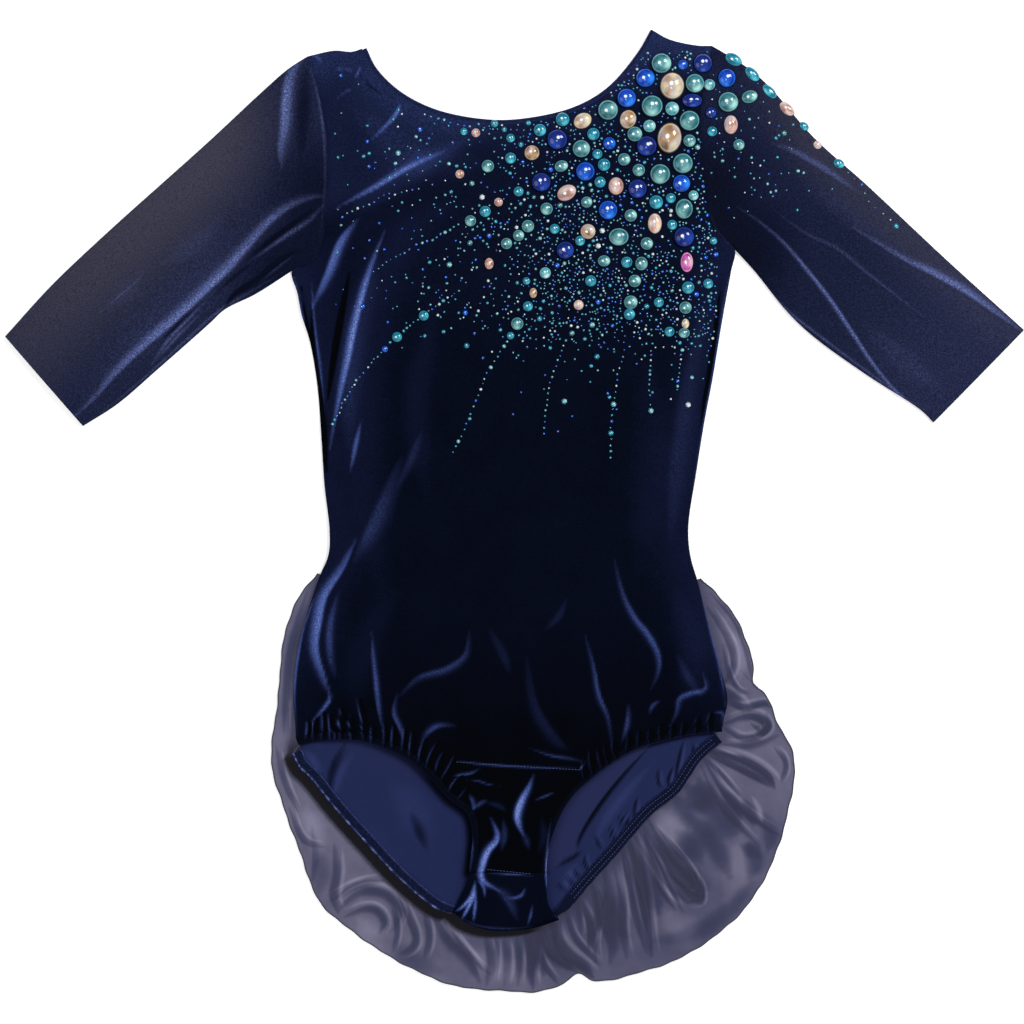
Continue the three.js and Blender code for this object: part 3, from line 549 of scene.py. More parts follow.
    LINING_GATHERS = read_paths("""
        125.8,-171.6 122.8,-185.4 119.7,-200.7;
        132.7,-172.4 134.3,-180.8 132.7,-186.9;
        107.5,-193 107.5,-202.2 109.8,-206.8;
        118.2,-191.5 115.1,-199.2 115.1,-206.8;
        91.4,-214.5 89.1,-223.7 89.1,-231.3;
        82.2,-226.3 84.5,-232.9 84.5,-239;
        77.6,-226.7 80.7,-232.9 79.9,-240.5;
        70.7,-235.9 73,-242 73.8,-248.2;
        59.2,-242 62.3,-248.2 65.4,-252.8;
        51.6,-256 53.1,-265 56.2,-268.1;
        43.2,-265.8 46.2,-271.1 49.3,-273.4;
        36.5,-272 41.6,-276.5 44.7,-280.3;
        31,-278 36.3,-281.9 39.3,-284.9
    """)
    SKIRT = read_strokes("""
        1.3/-0.5/-0.42/0 82.2,-254.3 88.3,-272.7 93.7,-288 97.5,-306.3 99,-321;
        1.2/-0.5/-0.4/0 94.4,-243.6 109.8,-265 117.4,-274.2 128.1,-283.4 138.8,-289.5 145,-288;
        1.1/-0.5/-0.38/0 103.6,-234.4 114.3,-245.1 125,-257.4 134.3,-269.6 141.9,-283.4;
        1.3/-0.5/-0.42/0 142.7,-184.6 155.7,-197.6 169.1,-213;
        1.8/-0.5/-0.5/0 146,-178.8 158.7,-183.1 171,-189;
        2.2/-0.4/-0.22/0 63.8,-275.7 66.9,-288 68.4,-300.2 71.5,-315.5;
        1.5/-0.4/-0.34/0 45.5,-291 48.5,-303.3 50,-317;
        1.9/-0.4/-0.3/0 28.6,-303.3 30.1,-321;
        5.5/1.2/-0.85/0.2 14,-313 26,-327 40,-342;
        4.2/1/-0.6/0 8,-314 14,-328 22,-346;
        7/1.4/-0.55/0.4 100,-241 116,-262 134,-286 138,-292;
        6/1.4/-0.55/0 88,-252 100,-276 108,-300;
        6/1.2/-0.5/0 60,-283 70,-300 84,-318;
        7/0.8/-0.5/0 130,-207 138,-214 142,-222;
        9/0.8/-0.5/0 150,-218 158,-232 164,-246;
        6/0.8/-0.45/0 122,-240 132,-250 140,-262;
        5/0.8/-0.4/0 176,-250 180,-262 176,-274;
        2.4/1/0.35/0 94,-247 108,-270 122,-300;
        2.4/1/0.3/0 74,-262 84,-288 92,-312;
        2.6/3/-0.85/-0.4 143.6,-179.2 171.5,-186 190.5,-198.2 195,-206;
        1.8/1.8/-0.7/0.4 146.2,-183 171.5,-194.4 191.8,-205.9;
        1.8/1.6/-0.6/-0.5 142.4,-185.6 156.3,-208.4 179.1,-228.7 199,-242;
        1.4/1.2/-0.4/-0.5 140,-190 152,-214 168,-234 184,-250;
        6/0.3/-0.62/0 138.5,-201 144,-218 132,-220;
        4.6/0.3/-0.62/0 156.3,-208 163,-222 168,-233;
        3.2/0.3/-0.55/0 171.5,-216 177,-226 179.1,-235;
        6/0.3/-0.55/0 130.9,-228.7 148.7,-246.4 161.4,-273;
        4/0.3/-0.5/0 170,-250 178,-254 184,-259;
        5/0.3/-0.4/0 120,-214 128,-224 130,-236;
        4/0.3/-0.35/0 186,-226 192,-240 190,-254;
        2/2.2/-0.62/-0.5 100.5,-231 115.7,-254 136,-276.8 140.5,-289.5 130,-293;
        2/1.8/-0.55/-0.5 130,-293 115.7,-280.4 103.1,-257.6 96,-236;
        1.7/1.8/-0.55/0.4 111,-243 128.4,-264.2 135,-277 131,-280.4 118.3,-269.2 109,-250;
        2.6/2.6/-0.62/-0.5 84,-241 92.9,-264.2 98,-289.5 100.5,-312.3 103.1,-332;
        1.8/1.8/-0.55/0.5 88,-241 103.1,-264.2 110.7,-284.4 121.5,-299;
        2/2/-0.55/0.5 80,-252 85.3,-279.4 89.1,-299.6 98.6,-330;
        1.4/1/-0.4/0.5 93,-238 106,-262 116,-282 126,-300;
        3.6/2.2/-0.55/0.4 66,-266 70.1,-289.5 66.3,-304.7 72.6,-322.5 71.4,-337;
        2/1.6/-0.46/-0.4 58,-277 63.8,-299.6 60,-314.9 61.2,-337;
        2.4/1.6/-0.4/0.4 74,-262 80,-288 80,-312 84,-334;
        2.2/1.6/-0.5/0.5 46,-289 56.2,-309.8 54.9,-329;
        3.2/3.4/-0.92/0.5 28.5,-305 32.1,-322.5 39.7,-332.6 51.1,-341.5 58,-348.4;
        1.8/1.2/-0.5/0.5 38,-300 44,-318 52,-328 64,-340;
        2.2/1.8/-0.66/0.4 18.6,-312.3 24.5,-327.5 37.1,-337.7 46.6,-345;
        2.4/1.8/-0.62/-0.4 12,-314 14.3,-327.5 13,-344 14.3,-357;
        1.8/1.4/-0.55/0.4 16.9,-314.9 19.4,-335.1 32.1,-353.5;
        1.8/1.2/-0.4/-0.4 2,-318 4,-334 3,-355;
        2.4/1.4/-0.34/0.4 -8,-320 -6,-336 -8,-354;
        2.4/1.8/-0.46/0.4 -22,-319 -18.6,-335.1 -21.2,-354;
        1.6/1.2/-0.34/0.4 -14,-320 -14,-336 -16,-352;
        2.8/2/-0.6/-0.5 -60.2,-303 -49,-319.9 -33.8,-335.1 -26,-351;
        1.6/1.4/-0.42/-0.4 -48,-311 -38,-326 -30,-336 -18,-346;
        2/1.6/-0.44/0.4 -68,-302 -64.3,-317.4 -68,-334;
        2.2/1.8/-0.52/0.4 -88,-285 -79.5,-304.7 -74.4,-319.9 -77,-326 -86,-331;
        1.6/1.2/-0.36/0.4 -92,-296 -88,-312 -92,-330;
        2.4/2/-0.55/-0.4 -132,-298 -120,-287 -107.4,-283.2 -94.7,-287 -85.8,-299.6 -89.6,-313;
        2/1.6/-0.5/-0.4 -127,-303 -112.4,-297.1 -102.3,-298.4 -97.2,-307.2 -101,-316;
        2/1.4/-0.4/-0.4 -137,-290 -117.5,-279.4 -99,-276;
        2.6/1.8/-0.48/0.4 -135.2,-250 -134,-271.8 -136.5,-287 -132.7,-300;
        1.8/1.2/-0.36/0.4 -169,-222 -158,-246.4 -142.8,-251.5;
        1.6/1/-0.3/0.4 -152,-236 -150,-256 -152,-280;
        2.2/1.4/-0.46/0.5 144.6,-72 158.8,-94.3 163.9,-112.1 157,-129;
        1.6/1/-0.36/0.4 147,-61 166.4,-84.2 174,-107 178,-126;
        1.4/1/-0.36/0.4 156,-100 160,-120 168,-134 176,-136;
        2.2/2.2/-0.7/-0.4 157,-158.7 176.6,-152.6 189.3,-157.7 186.7,-165.3 178,-159.2;
        2/1.6/-0.55/0.4 160,-144 174,-147.5 186.7,-143.7 197.5,-148;
        2/1.8/-0.62/0.4 156,-162 171.5,-170.4 184.2,-167.8 191.8,-160.2 189.3,-151;
        1.8/1.4/-0.46/-0.4 157,-174.2 176.6,-174.6 198,-167;
        1.6/1.2/-0.42/0.4 195,-177 203.2,-188.1 199.4,-202;
        3/0.8/-0.36/0 150,-134 164,-140 172,-150;
        1.8/1/-0.34/0.4 -179,-176 -173.3,-200.8 -163.1,-224;
        2.2/1.2/-0.36/0.4 -156,-60 -168.2,-99.4 -172,-132.3 -173.3,-164;
        3.2/0.8/-0.42/0 -151,-66 -162,-100 -168,-140;
        5/0.4/-0.3/0 106,-321 133.5,-315.9 158.8,-300 178,-278;
        6/0.4/-0.26/0 -160,-238 -146,-268 -148,-288;
        7/0.3/-0.26/0 -110,-318 -84,-334 -56,-344;
        8/0.3/0.34/0 104,-222 118,-240 124,-256;
        9/0.3/0.3/0 150,-236 168,-264 160,-290;
        8/0.3/0.3/0 112,-300 124,-312 140,-306;
        6/0.3/0.3/0 -156,-222 -150,-244 -152,-264;
        7/0.3/0.28/0 -116,-306 -104,-322 -88,-336;
        7/0.3/0.28/0 -44,-330 -10,-342 4,-350;
        5/0.3/0.3/0 154,-84 168,-106 168,-126
    """)
    FRONT_GATHERS = read_paths("""
        -156,-156 -157,-170; -150,-154 -151.5,-170; -144.1,-150 -145.4,-171; -140.3,-151 -138.3,-171;
        -135,-158 -135,-171; -130.9,-147 -131.4,-172; -123.8,-152 -122.6,-172; -118,-138 -113.7,-172;
        -107.4,-160 -107.9,-173; -98.5,-158 -99,-175; -91.6,-160 -92.6,-177; -83,-162 -85,-179; -77.4,-164
        -79.5,-183; -68.1,-170 -72.6,-187; -59.2,-173 -67,-191; -53.6,-179 -60,-195; -45.2,-181.8 -56,-201;
        -40,-196 -50,-209; -36,-206 -43,-215; 54.9,-178 57.5,-196; 61.2,-178 64.5,-192; 66.3,-175 69,-189;
        72.6,-170 75,-185; 84,-166 82.5,-180; 92,-164 91,-176; 100,-163 100,-174; 108,-160 108,-171; 117,-159
        116,-170; 126,-157 124,-168; 136,-154 134,-167; 146,-150 145,-166; 50,-186 52,-200
    """)
    GATHERS_LIGHT = (0.58, 0.34)

    @classmethod
    def gathers(cls) -> list[Stroke]:
        """Return the short upright gathers over both front leg edges: each a painted highlight with a line of
        painted shade beside it.
        """
        random = np.random.default_rng(4)
        strokes = []
        for (top_x, top_y), (foot_x, foot_y) in cls.FRONT_GATHERS:
            middle = (0.5 * (top_x + foot_x) + random.uniform(-1.0, 1.0), 0.5 * (top_y + foot_y))
            light = cls.GATHERS_LIGHT[int(top_x > 0)] * random.uniform(0.7, 1.0)
            path = ((top_x, top_y), middle, (foot_x, foot_y))
            strokes.append(Stroke(random.uniform(1.0, 1.35), 1.0, light, path, 0.4))
            strokes.append(Stroke(1.5, -0.5, -0.5, tuple((x + 2.2, y) for x, y in path)))
        return strokes

    @classmethod
    def lining(cls) -> list[Stroke]:
        """Return the marks of the inside, with the gathers where the right back elastic draws it up: painted
        shade in each and a painted highlight beside it.
        """
        gathers = [Stroke(1.15, -0.6, -0.78, path, 0.4) for path in cls.LINING_GATHERS]
        return [*cls.LINING, *gathers, *(gather.twin(2.4, 1.6, 0.34) for gather in gathers)]

    @classmethod
    def skirt(cls) -> list[Stroke]:
        """Return the skirt's folds, dark where layers fold together and with painted shade, each sharp dark
        one with a painted highlight beside it.
        """
        sharp = [fold for fold in cls.SKIRT if fold.tone < -0.33 and fold.width < 3.5]
        wide = [Stroke(1.3 * f.width, f.height, max(1.15 * f.tone, -0.95), f.path, f.lean) for f in cls.SKIRT]
        return [*wide, *(fold.twin(2.2 * fold.width, 0.6 * fold.width, 0.4) for fold in sharp)]


class Heights:
    """How high each layer of cloth lies over the table, in millimetres."""

    BACK_WALL = 0.8
    FRONT_WALL = 0.8
    GAP = 0.5
    SETTLE = 0.6
    LOFT = 2.2
    LOFT_REACH = 18.0
    ROLL = 2.2
    ROLL_RISE = 1.3
    LEG_LIFT = (4.6, 2.6)
    LEG_REACH = 26.0
    SKIRT_TOP = 1.4
    EDGE_DROP = 0.4

    @classmethod
    def leg_lift(cls, places: Array) -> Array:
        """Return how far the back's leg edges stand off the table.

        Args:
            places: the places, in millimetres.

        Returns:
            A height for each place, in millimetres.
        """
        lift = np.zeros(len(places))
        for leg, height in zip(CUT.back_legs, cls.LEG_LIFT):
            distance, _, _ = nearest(leg.line(40), places)
            lift = np.maximum(lift, height * (1.0 - smooth(0.0, cls.LEG_REACH, distance)))
        return lift

    @classmethod
    def back(cls, places: Array) -> Array:
        """Return the top of the back panel, without its folds."""
        over_skirt = cls.SKIRT_TOP * (1.0 - smooth(-20.0, 8.0, places[:, 1]))
        return over_skirt + cls.BACK_WALL + cls.leg_lift(places)

    @classmethod
    def to_silhouette(cls, places: Array) -> Array:
        """Return each place's distance to the garment's folded or open outline."""
        return np.min([nearest(line, places)[0] for line in CUT.silhouette], axis=0)

    @classmethod
    def rise(cls, places: Array) -> Array:
        """Return the loft of an upper layer: rolled at the outline, full inside it."""
        edge = cls.to_silhouette(places)
        return cls.ROLL_RISE * rounded(edge, cls.ROLL) + cls.LOFT * (1.0 - np.exp(-edge / cls.LOFT_REACH))

    @classmethod
    def front(cls, places: Array) -> Array:
        """Return the top of the front panel, without its folds."""
        return cls.back(places) + cls.GAP + cls.FRONT_WALL - cls.SETTLE + cls.rise(places)

    @classmethod
    def front_edge(cls, places: Array) -> Array:
        """Return the height of an edging on the front."""
        return cls.front(places) - cls.EDGE_DROP

    @classmethod
    def seam(cls, line: Array, places: Array, depth: float = 0.9, width: float = 1.6) -> Array:
        """Return the groove that a seam draws along a line."""
        return -depth * bell(nearest(line, places)[0], width)


def hex_linear(code: str, alpha: float = 1.0) -> tuple[float, float, float, float]:
    """Turn an sRGB hex colour to linear red, green, blue and alpha.

    Args:
        code: the colour, such as #1a2b3c.
        alpha: how opaque it is.

    Returns:
        The four linear values.
    """
    values = [int(code[i : i + 2], 16) / 255 for i in (1, 3, 5)]
    linear = [v / 12.92 if v <= 0.04045 else ((v + 0.055) / 1.055) ** 2.4 for v in values]
    return (linear[0], linear[1], linear[2], alpha)


def add_node(tree: bpy.types.NodeTree, kind: str, inputs: Inputs = None, **settings: Any) -> Any:
    """Add a node, set its properties and fill its inputs.

    Args:
        tree: the node tree.
        kind: the node's type name.
        inputs: socket name or index to a value, or to an output socket to link.
        settings: the node's own properties.

    Returns:
        The node.
    """
    node = tree.nodes.new(kind)
    for name, value in settings.items():
        setattr(node, name, value)
    for key, value in (inputs or {}).items():
        if isinstance(value, bpy.types.NodeSocket):
            tree.links.new(value, node.inputs[key])
        else:
            node.inputs[key].default_value = value
    return node


class Recipe:
    """A material's nodes while they are put together."""

    def __init__(self, name: str) -> None:
        """Start an empty material.

        Args:
            name: the real material and how it was made.
        """
        self.material = bpy.data.materials.new(name)
        self.material.use_nodes = True
        self.tree = self.material.node_tree
        self.tree.nodes.clear()

    def add(self, kind: str, inputs: Inputs = None, **settings: Any) -> Any:
        """Add a node to this material."""
        return add_node(self.tree, kind, inputs, **settings)

    def place(self) -> Any:
        """Return the place on the piece, in metres."""
        return self.add("ShaderNodeTexCoord").outputs["Object"]

    def read(self, name: str, part: str = "Fac") -> Any:
        """Return an attribute of the mesh."""
        return self.add("ShaderNodeAttribute", attribute_name=name).outputs[part]

    def noise(self, place: Any, scale: float, detail: float, roughness: float = 0.5) -> Any:
        """Return soft noise."""
        inputs = {"Vector": place, "Scale": scale, "Detail": detail, "Roughness": roughness}
        return self.add("ShaderNodeTexNoise", inputs).outputs["Fac"]

    def math(self, operation: str, *values: Any, use_clamp: bool = False) -> Any:
        """Return what an operation makes of its values."""
        node = self.add("ShaderNodeMath", dict(enumerate(values)), operation=operation, use_clamp=use_clamp)
        return node.outputs[0]

    def times(self, a: Any, b: Any) -> Any:
        """Return the product of two values."""
        return self.math("MULTIPLY", a, b)

    def vector(self, operation: str, *values: Any, part: str = "Vector") -> Any:
        """Return what an operation makes of its vectors."""
        return self.add("ShaderNodeVectorMath", dict(enumerate(values)), operation=operation).outputs[part]

    def fade(self, value: Any, low: float, high: float) -> Any:
        """Return a smooth step of the value, 0 at low and 1 at high."""
        inputs = {"Value": value, "From Min": low, "From Max": high}
        return self.add("ShaderNodeMapRange", inputs, interpolation_type="SMOOTHSTEP").outputs["Result"]

    def blend(self, share: Any, a: Any, b: Any) -> Any:
        """Return a colour between two, which are sockets or hex colours.

        Args:
            share: of the second colour, a number or a socket.
            a: the first colour.
            b: the second colour.

        Returns:
            The socket of the blended colour.
        """
        node = self.add("ShaderNodeMix", {"Factor": share}, data_type="RGBA")
        for socket, value in zip([s for s in node.inputs if s.type == "RGBA"], (a, b)):
            if isinstance(value, str):
                socket.default_value = hex_linear(value)
            else:
                self.tree.links.new(value, socket)
        return next(s for s in node.outputs if s.type == "RGBA")

    def ramp(self, value: Any, stops: Stops) -> Any:
        """Return the colour that a ramp gives the value, from stops of a place and a hex colour.

        Args:
            value: the socket to read.
            stops: the ramp's places and colours.

        Returns:
            The colour's socket.
        """
        node = self.add("ShaderNodeValToRGB", {"Fac": value})
        elements = node.color_ramp.elements
        while len(elements) < len(stops):
            elements.new(0.5)
        for element, (place, code) in zip(elements, stops):
            element.position = place
            element.color = hex_linear(code)
        return node.outputs["Color"]

    def bump(self, height: Any, strength: float, distance: float) -> Any:
        """Return the normals of a fine relief."""
        inputs = {"Height": height, "Strength": strength, "Distance": distance}
        return self.add("ShaderNodeBump", inputs).outputs["Normal"]

    def finish(self, inputs: dict[str, Any]) -> bpy.types.Material:
        """Give the material its shader and return it.

        Args:
            inputs: the shader's values and links.

        Returns:
            The material.
        """
        shader = self.add("ShaderNodeBsdfPrincipled", inputs)
        self.add("ShaderNodeOutputMaterial", {"Surface": shader.outputs["BSDF"]})
        return self.material


@dataclass(frozen=True)
class Cloth:
    """A cloth finish whose colour follows its tone: the cloth's own colour, with painted highlights and
    painted shade.

    Attributes:
        name: the real material and how it was made.
        stops: the ramp from the darkest tone at 0 to the lightest at 1, as places and hex colours.
        warm: the colour that the warm attribute brings in.
        roughness: of the surface.
        sheen: how much light the fibre ends throw back at a low angle.
        sheen_tint: the colour of that light.
        specular: the specular level.
        grain_mm: the size of the pile's or knit's grain.
        grain: how strongly the grain stands out.
        mottle_mm: the size of the crushed patches.
        mottle: how much they change the tone.
        broken: how much the grain breaks up the lit marks.
    """

    name: str
    stops: Stops
    warm: str
    roughness: float = 0.8
    sheen: float = 0.05
    sheen_tint: str = "#4a58b8"
    specular: float = 0.03
    grain_mm: float = 1.1
    grain: float = 0.25
    mottle_mm: float = 26.0
    mottle: float = 0.08
    broken: float = 1.1

    def build(self) -> bpy.types.Material:
        """Return the material, which reads the attributes tone and warm."""
        recipe = Recipe(self.name)
        place = recipe.place()
        patch = recipe.noise(place, 1.0 / (self.mottle_mm * MM), 4.0, 0.6)
        grain = recipe.noise(place, 1.0 / (self.grain_mm * MM), 3.0, 0.65)
        broken = recipe.math("MULTIPLY_ADD", grain, self.broken, 1.0 - 0.5 * self.broken)
        value = recipe.times(recipe.read("tone"), broken)
        for wave in (patch, grain):
            shift = recipe.math("MULTIPLY_ADD", wave, self.mottle, -0.5 * self.mottle)
            value = recipe.math("ADD", value, shift)
        spread = recipe.math("POWER", broken, 2.0)
        # The warm attribute brings in a warmer tint: on the sleeves a painted grey-purple sheen, on the
        # lining a warmer patch and a warmer strip beyond its fold
        warm_tint_and_painted_sheen = recipe.math("MULTIPLY", recipe.read("warm"), spread, use_clamp=True)
        return recipe.finish({
            "Base Color": recipe.blend(warm_tint_and_painted_sheen, recipe.ramp(value, self.stops), self.warm),
            "Roughness": self.roughness, "Specular IOR Level": self.specular,
            "Sheen Weight": self.sheen, "Sheen Roughness": 0.4, "Sheen Tint": hex_linear(self.sheen_tint),
            "Normal": recipe.bump(grain, self.grain, self.grain_mm * MM * 0.5),
        })


@dataclass(frozen=True)
class Chiffon:
    """Sheer plain-woven chiffon: one layer lets the table show, a fold hides it.

    Attributes:
        name: the real material and how it was made.
        stops: colours from a dark fold, where layers fold together and shade is painted, at 0, through one
            layer at 0.5, to a painted highlight on a fold's edge at 1.
        shade: the colour where a leg edge keeps the light off.
        alpha: how much one face hides.
        cloud_mm: the size of the lighter and darker patches.
        thread_mm: the thread spacing, drawn coarse enough to show.
    """

    name: str = "woven_polyester_chiffon"
    stops: Stops = (
        (0.0, "#101338"), (0.16, "#191c42"), (0.32, "#2a2c4e"), (0.46, "#41405e"), (0.58, "#54526c"),
        (0.76, "#6b6983"), (1.0, "#908eac"),
    )
    shade: str = "#0c0a0e"
    alpha: float = 0.93
    cloud_mm: float = 1000 / 38
    thread_mm: float = 0.9

    def build(self) -> bpy.types.Material:
        """Return the material, which reads the attributes tone and shade."""
        recipe = Recipe(self.name)
        place = recipe.place()
        shade = recipe.read("shade")
        patch = recipe.noise(place, 1.0 / (self.cloud_mm * MM), 4.0, 0.55)
        half = recipe.math("MULTIPLY_ADD", recipe.read("tone"), 0.5, 0.5)
        value = recipe.math("ADD", half, recipe.math("MULTIPLY_ADD", patch, 0.36, -0.18))
        threads = {"Vector": place, "Scale": 1.0 / (self.thread_mm * MM) / 3.2, "Distortion": 0.4}
        weave = [
            recipe.add("ShaderNodeTexWave", threads, wave_type="BANDS", bands_direction=way).outputs["Fac"]
            for way in ("X", "Y")
        ]
        return recipe.finish({
            "Base Color": recipe.blend(shade, recipe.ramp(value, self.stops), self.shade),
            "Roughness": 0.55, "Specular IOR Level": 0.1,
            "Alpha": recipe.math("MULTIPLY_ADD", shade, 1.0 - self.alpha, self.alpha, use_clamp=True),
            "Sheen Weight": 0.05, "Sheen Roughness": 0.4, "Sheen Tint": hex_linear("#b8b6d8"),
            "Normal": recipe.bump(recipe.math("ADD", *weave), 0.12, 0.0003),
        })


@dataclass(frozen=True)
class Glass:
    """Foil-backed pressed glass: a deep heart with a painted pale glow, a painted pale crescent where light
    gathers, painted shade at the rim and a painted white highlight.

    Attributes:
        name: the real material and how it was made.
        roughness: of the polished face.
        glow: how strongly the stone's painted colour glows by itself, a painted light.
        facets: how many flakes of colour a coated stone shows across.
        coating: the colours of those flakes.
    """

    name: str = "pressed_glass_foil_backed"
    roughness: float = 0.07
    glow: float = 0.06
    facets: float = 1.7
    coating: Stops = (
        (0.1, "#4f443e"), (0.35, "#b88a5a"), (0.5, "#b8a4ae"), (0.65, "#a2b0bc"), (0.9, "#ecd8a6"),
    )

    def build(self) -> bpy.types.Material:
        """Return the material, which reads each stone's colours and the place within the stone."""
        recipe = Recipe(self.name)
        times, fade = recipe.times, recipe.fade
        pale = recipe.read("pale", "Color")
        where = recipe.read("within", "Vector")
        gleam = recipe.read("gleam", "Vector")
        strength = recipe.add("ShaderNodeSeparateXYZ", {"Vector": gleam}).outputs["Z"]
        flat = recipe.vector("MULTIPLY", where, (1.0, 1.0, 0.0))
        out = recipe.vector("LENGTH", flat, part="Value")

        def near(place: Any, low: float, high: float) -> Any:
            """Return a round spot about a place in the stone."""
            return fade(recipe.vector("DISTANCE", flat, place, part="Value"), high, low)

        cloud = fade(recipe.noise(where, 1.6, 2.0), 0.46, 0.68)
        lit = near(recipe.vector("MULTIPLY", gleam, (1.0, 1.0, 0.0)), 0.1, 0.72)
        crescent = times(times(fade(out, 0.16, 0.62), lit), strength)
        flakes = {"Vector": where, "Scale": self.facets, "Smoothness": 1.0, "Randomness": 1.0}
        flake = recipe.add("ShaderNodeTexVoronoi", flakes, feature="SMOOTH_F1").outputs["Color"]
        shift = recipe.add("ShaderNodeSeparateColor", {"Color": flake}).outputs["Red"]
        ring = times(fade(out, 0.76, 0.84), fade(out, 0.93, 0.87))
        spot = near(recipe.vector("MULTIPLY", gleam, (-0.4, -0.35, 0.0)), 0.08, 0.2)
        # Painted light over the foil colour: a pale glow in the heart, the crescent, a pale ring inside the
        # rim, shade at the rim and a white highlight spot; the dark cloud and the coating's flakes are the
        # stone's own colour
        layers = (
            (times(cloud, 0.55), "#04101f"),
            (times(near((0.0, 0.0, 0.0), 0.0, 0.7), 0.28), pale),
            (crescent, pale),
            (times(recipe.read("coated"), 0.6), recipe.ramp(shift, self.coating)),
            (times(ring, 0.4), pale),
            (times(fade(out, 0.84, 0.97), 0.9), "#02040b"),
            (times(spot, 0.95), "#f4fffd"),
        )
        colour = recipe.read("deep", "Color")
        for share, over in layers:
            colour = recipe.blend(share, colour, over)
        # The stone glows a little by itself with its painted colour: painted light
        return recipe.finish({
            "Base Color": colour, "Roughness": self.roughness, "IOR": 1.5, "Specular IOR Level": 0.4,
            "Emission Color": colour, "Emission Strength": self.glow,
        })


@dataclass(frozen=True)
class Thread:
    """Spun polyester thread: a dull round strand with a soft light along it.

    Attributes:
        name: the real material and how it was made.
        colour: hex colour.
    """

    name: str
    colour: str

    def build(self) -> bpy.types.Material:
        """Return the material."""
        recipe = Recipe(self.name)
        twist = recipe.noise(recipe.place(), 1400.0, 2.0)
        return recipe.finish({
            "Base Color": hex_linear(self.colour), "Roughness": 0.6, "Specular IOR Level": 0.3,
            "Sheen Weight": 0.3, "Normal": recipe.bump(twist, 0.3, 0.0002),
        })


# Ramps from tone to colour: the dark end is each cloth's own colour, deepened where shade is painted, the
# light end its painted sheen and highlights
VELVET_STOPS = (
    (0.0, "#000104"), (0.1, "#020616"), (0.2, "#090f27"), (0.32, "#131a36"), (0.5, "#283462"),
    (0.75, "#425490"), (1.0, "#788ac6"),
)
SLEEVE_STOPS = (
    (0.0, "#060918"), (0.14, "#0d1229"), (0.3, "#1a1f38"), (0.45, "#272c4a"), (0.6, "#394166"),
    (0.8, "#4b578a"), (1.0, "#737fb2"),
)
LINING_STOPS = ((0.0, "#030409"), (0.3, "#10152d"), (0.5, "#1e2549"), (0.72, "#2c3560"), (1.0, "#434f82"))
ELASTIC_STOPS = ((0.0, "#010208"), (0.3, "#0c1128"), (0.6, "#293461"), (1.0, "#7383b8"))


class Finish(Enum):
    """The finishes, each made once."""

    # Dense cut pile: near black, with painted highlights where a fold turns the pile and painted shade in its
    # creases
    BODY_VELVET = Cloth("knitted_stretch_velvet_navy", VELVET_STOPS, "#1a1830")
    # The same pile stroked upward: grainy and painted paler for the sheen of its turned pile, with a painted
    # grey-purple sheen along its upper edge
    SLEEVE_VELVET = Cloth(
        "knitted_stretch_velvet_navy_brushed_up_painted_sheen", SLEEVE_STOPS, "#3c3b49",
        roughness=0.85, sheen=0.07, grain=0.4, mottle_mm=2.2, mottle=0.2, broken=1.5,
    )
    # The velvet's flat knitted back: an even dull blue
    LINING = Cloth(
        "tricot_back_of_velvet", LINING_STOPS, "#23284a",
        roughness=0.95, sheen=0.03, grain=0.2, mottle_mm=9.0, mottle=0.05, broken=0.1,
    )
    # Velvet turned over a woven band: dark, with a painted highlight on the rim where it rolls
    ELASTIC = Cloth(
        "woven_elastic_covered", ELASTIC_STOPS, "#1a1a30",
        roughness=0.8, sheen=0.02, mottle_mm=3.0, mottle=0.10,
    )
    # Crisp sheer threads: greyish violet over the table, dark blue where layers fold together and where shade
    # is painted, with painted highlights along folds and a painted shadow under a lifted leg edge
    CHIFFON = Chiffon()
    # Moulded stones: a painted white highlight spot and a painted crescent of light over deep foil colour
    GLASS = Glass()
    HEM_THREAD = Thread("spun_polyester_thread_navy", "#24243a")
    STITCH = Thread("spun_polyester_thread_blue", "#3a4678")

    @property
    def material(self) -> bpy.types.Material:
        """Return this finish's material, made on first use."""
        return bpy.data.materials.get(self.value.name) or self.value.build()


def grid_mesh(columns: int, rows: int, place: Callable[[Array, Array], Array]) -> bmesh.types.BMesh:
    """Make a grid and move its points into place.

    Args:
        columns: how many cells it has across.
        rows: how many cells it has down.
        place: turns the shares across and down into places in millimetres.

    Returns:
        The bmesh, in metres, with its faces pointing up where the grid lies flat.
    """
    bm = bmesh.new()
    bmesh.ops.create_grid(bm, x_segments=columns, y_segments=rows, size=1.0)
    flat = np.array([v.co[:2] for v in bm.verts])
    moved = place(0.5 + 0.5 * flat[:, 0], 0.5 - 0.5 * flat[:, 1]) * MM
    for vert, where in zip(bm.verts, moved):
        vert.co = where
    return bm


def to_mesh(name: str, bm: bmesh.types.BMesh) -> bpy.types.Mesh:
    """Turn a bmesh into a mesh and free it.

    Args:
        name: the mesh's name.
        bm: its shape, which is freed.

    Returns:
        The mesh.
    """
    mesh = bpy.data.meshes.new(name)
    bm.to_mesh(mesh)
    bm.free()
    return mesh


def put_in_scene(name: str, data: Any) -> bpy.types.Object:
    """Return a new object of a mesh, light or camera, linked to the scene.

    Args:
        name: the object's name.
        data: its mesh, light or camera.

    Returns:
        The object.
    """
    thing = bpy.data.objects.new(name, data)
    bpy.context.scene.collection.objects.link(thing)
    return thing


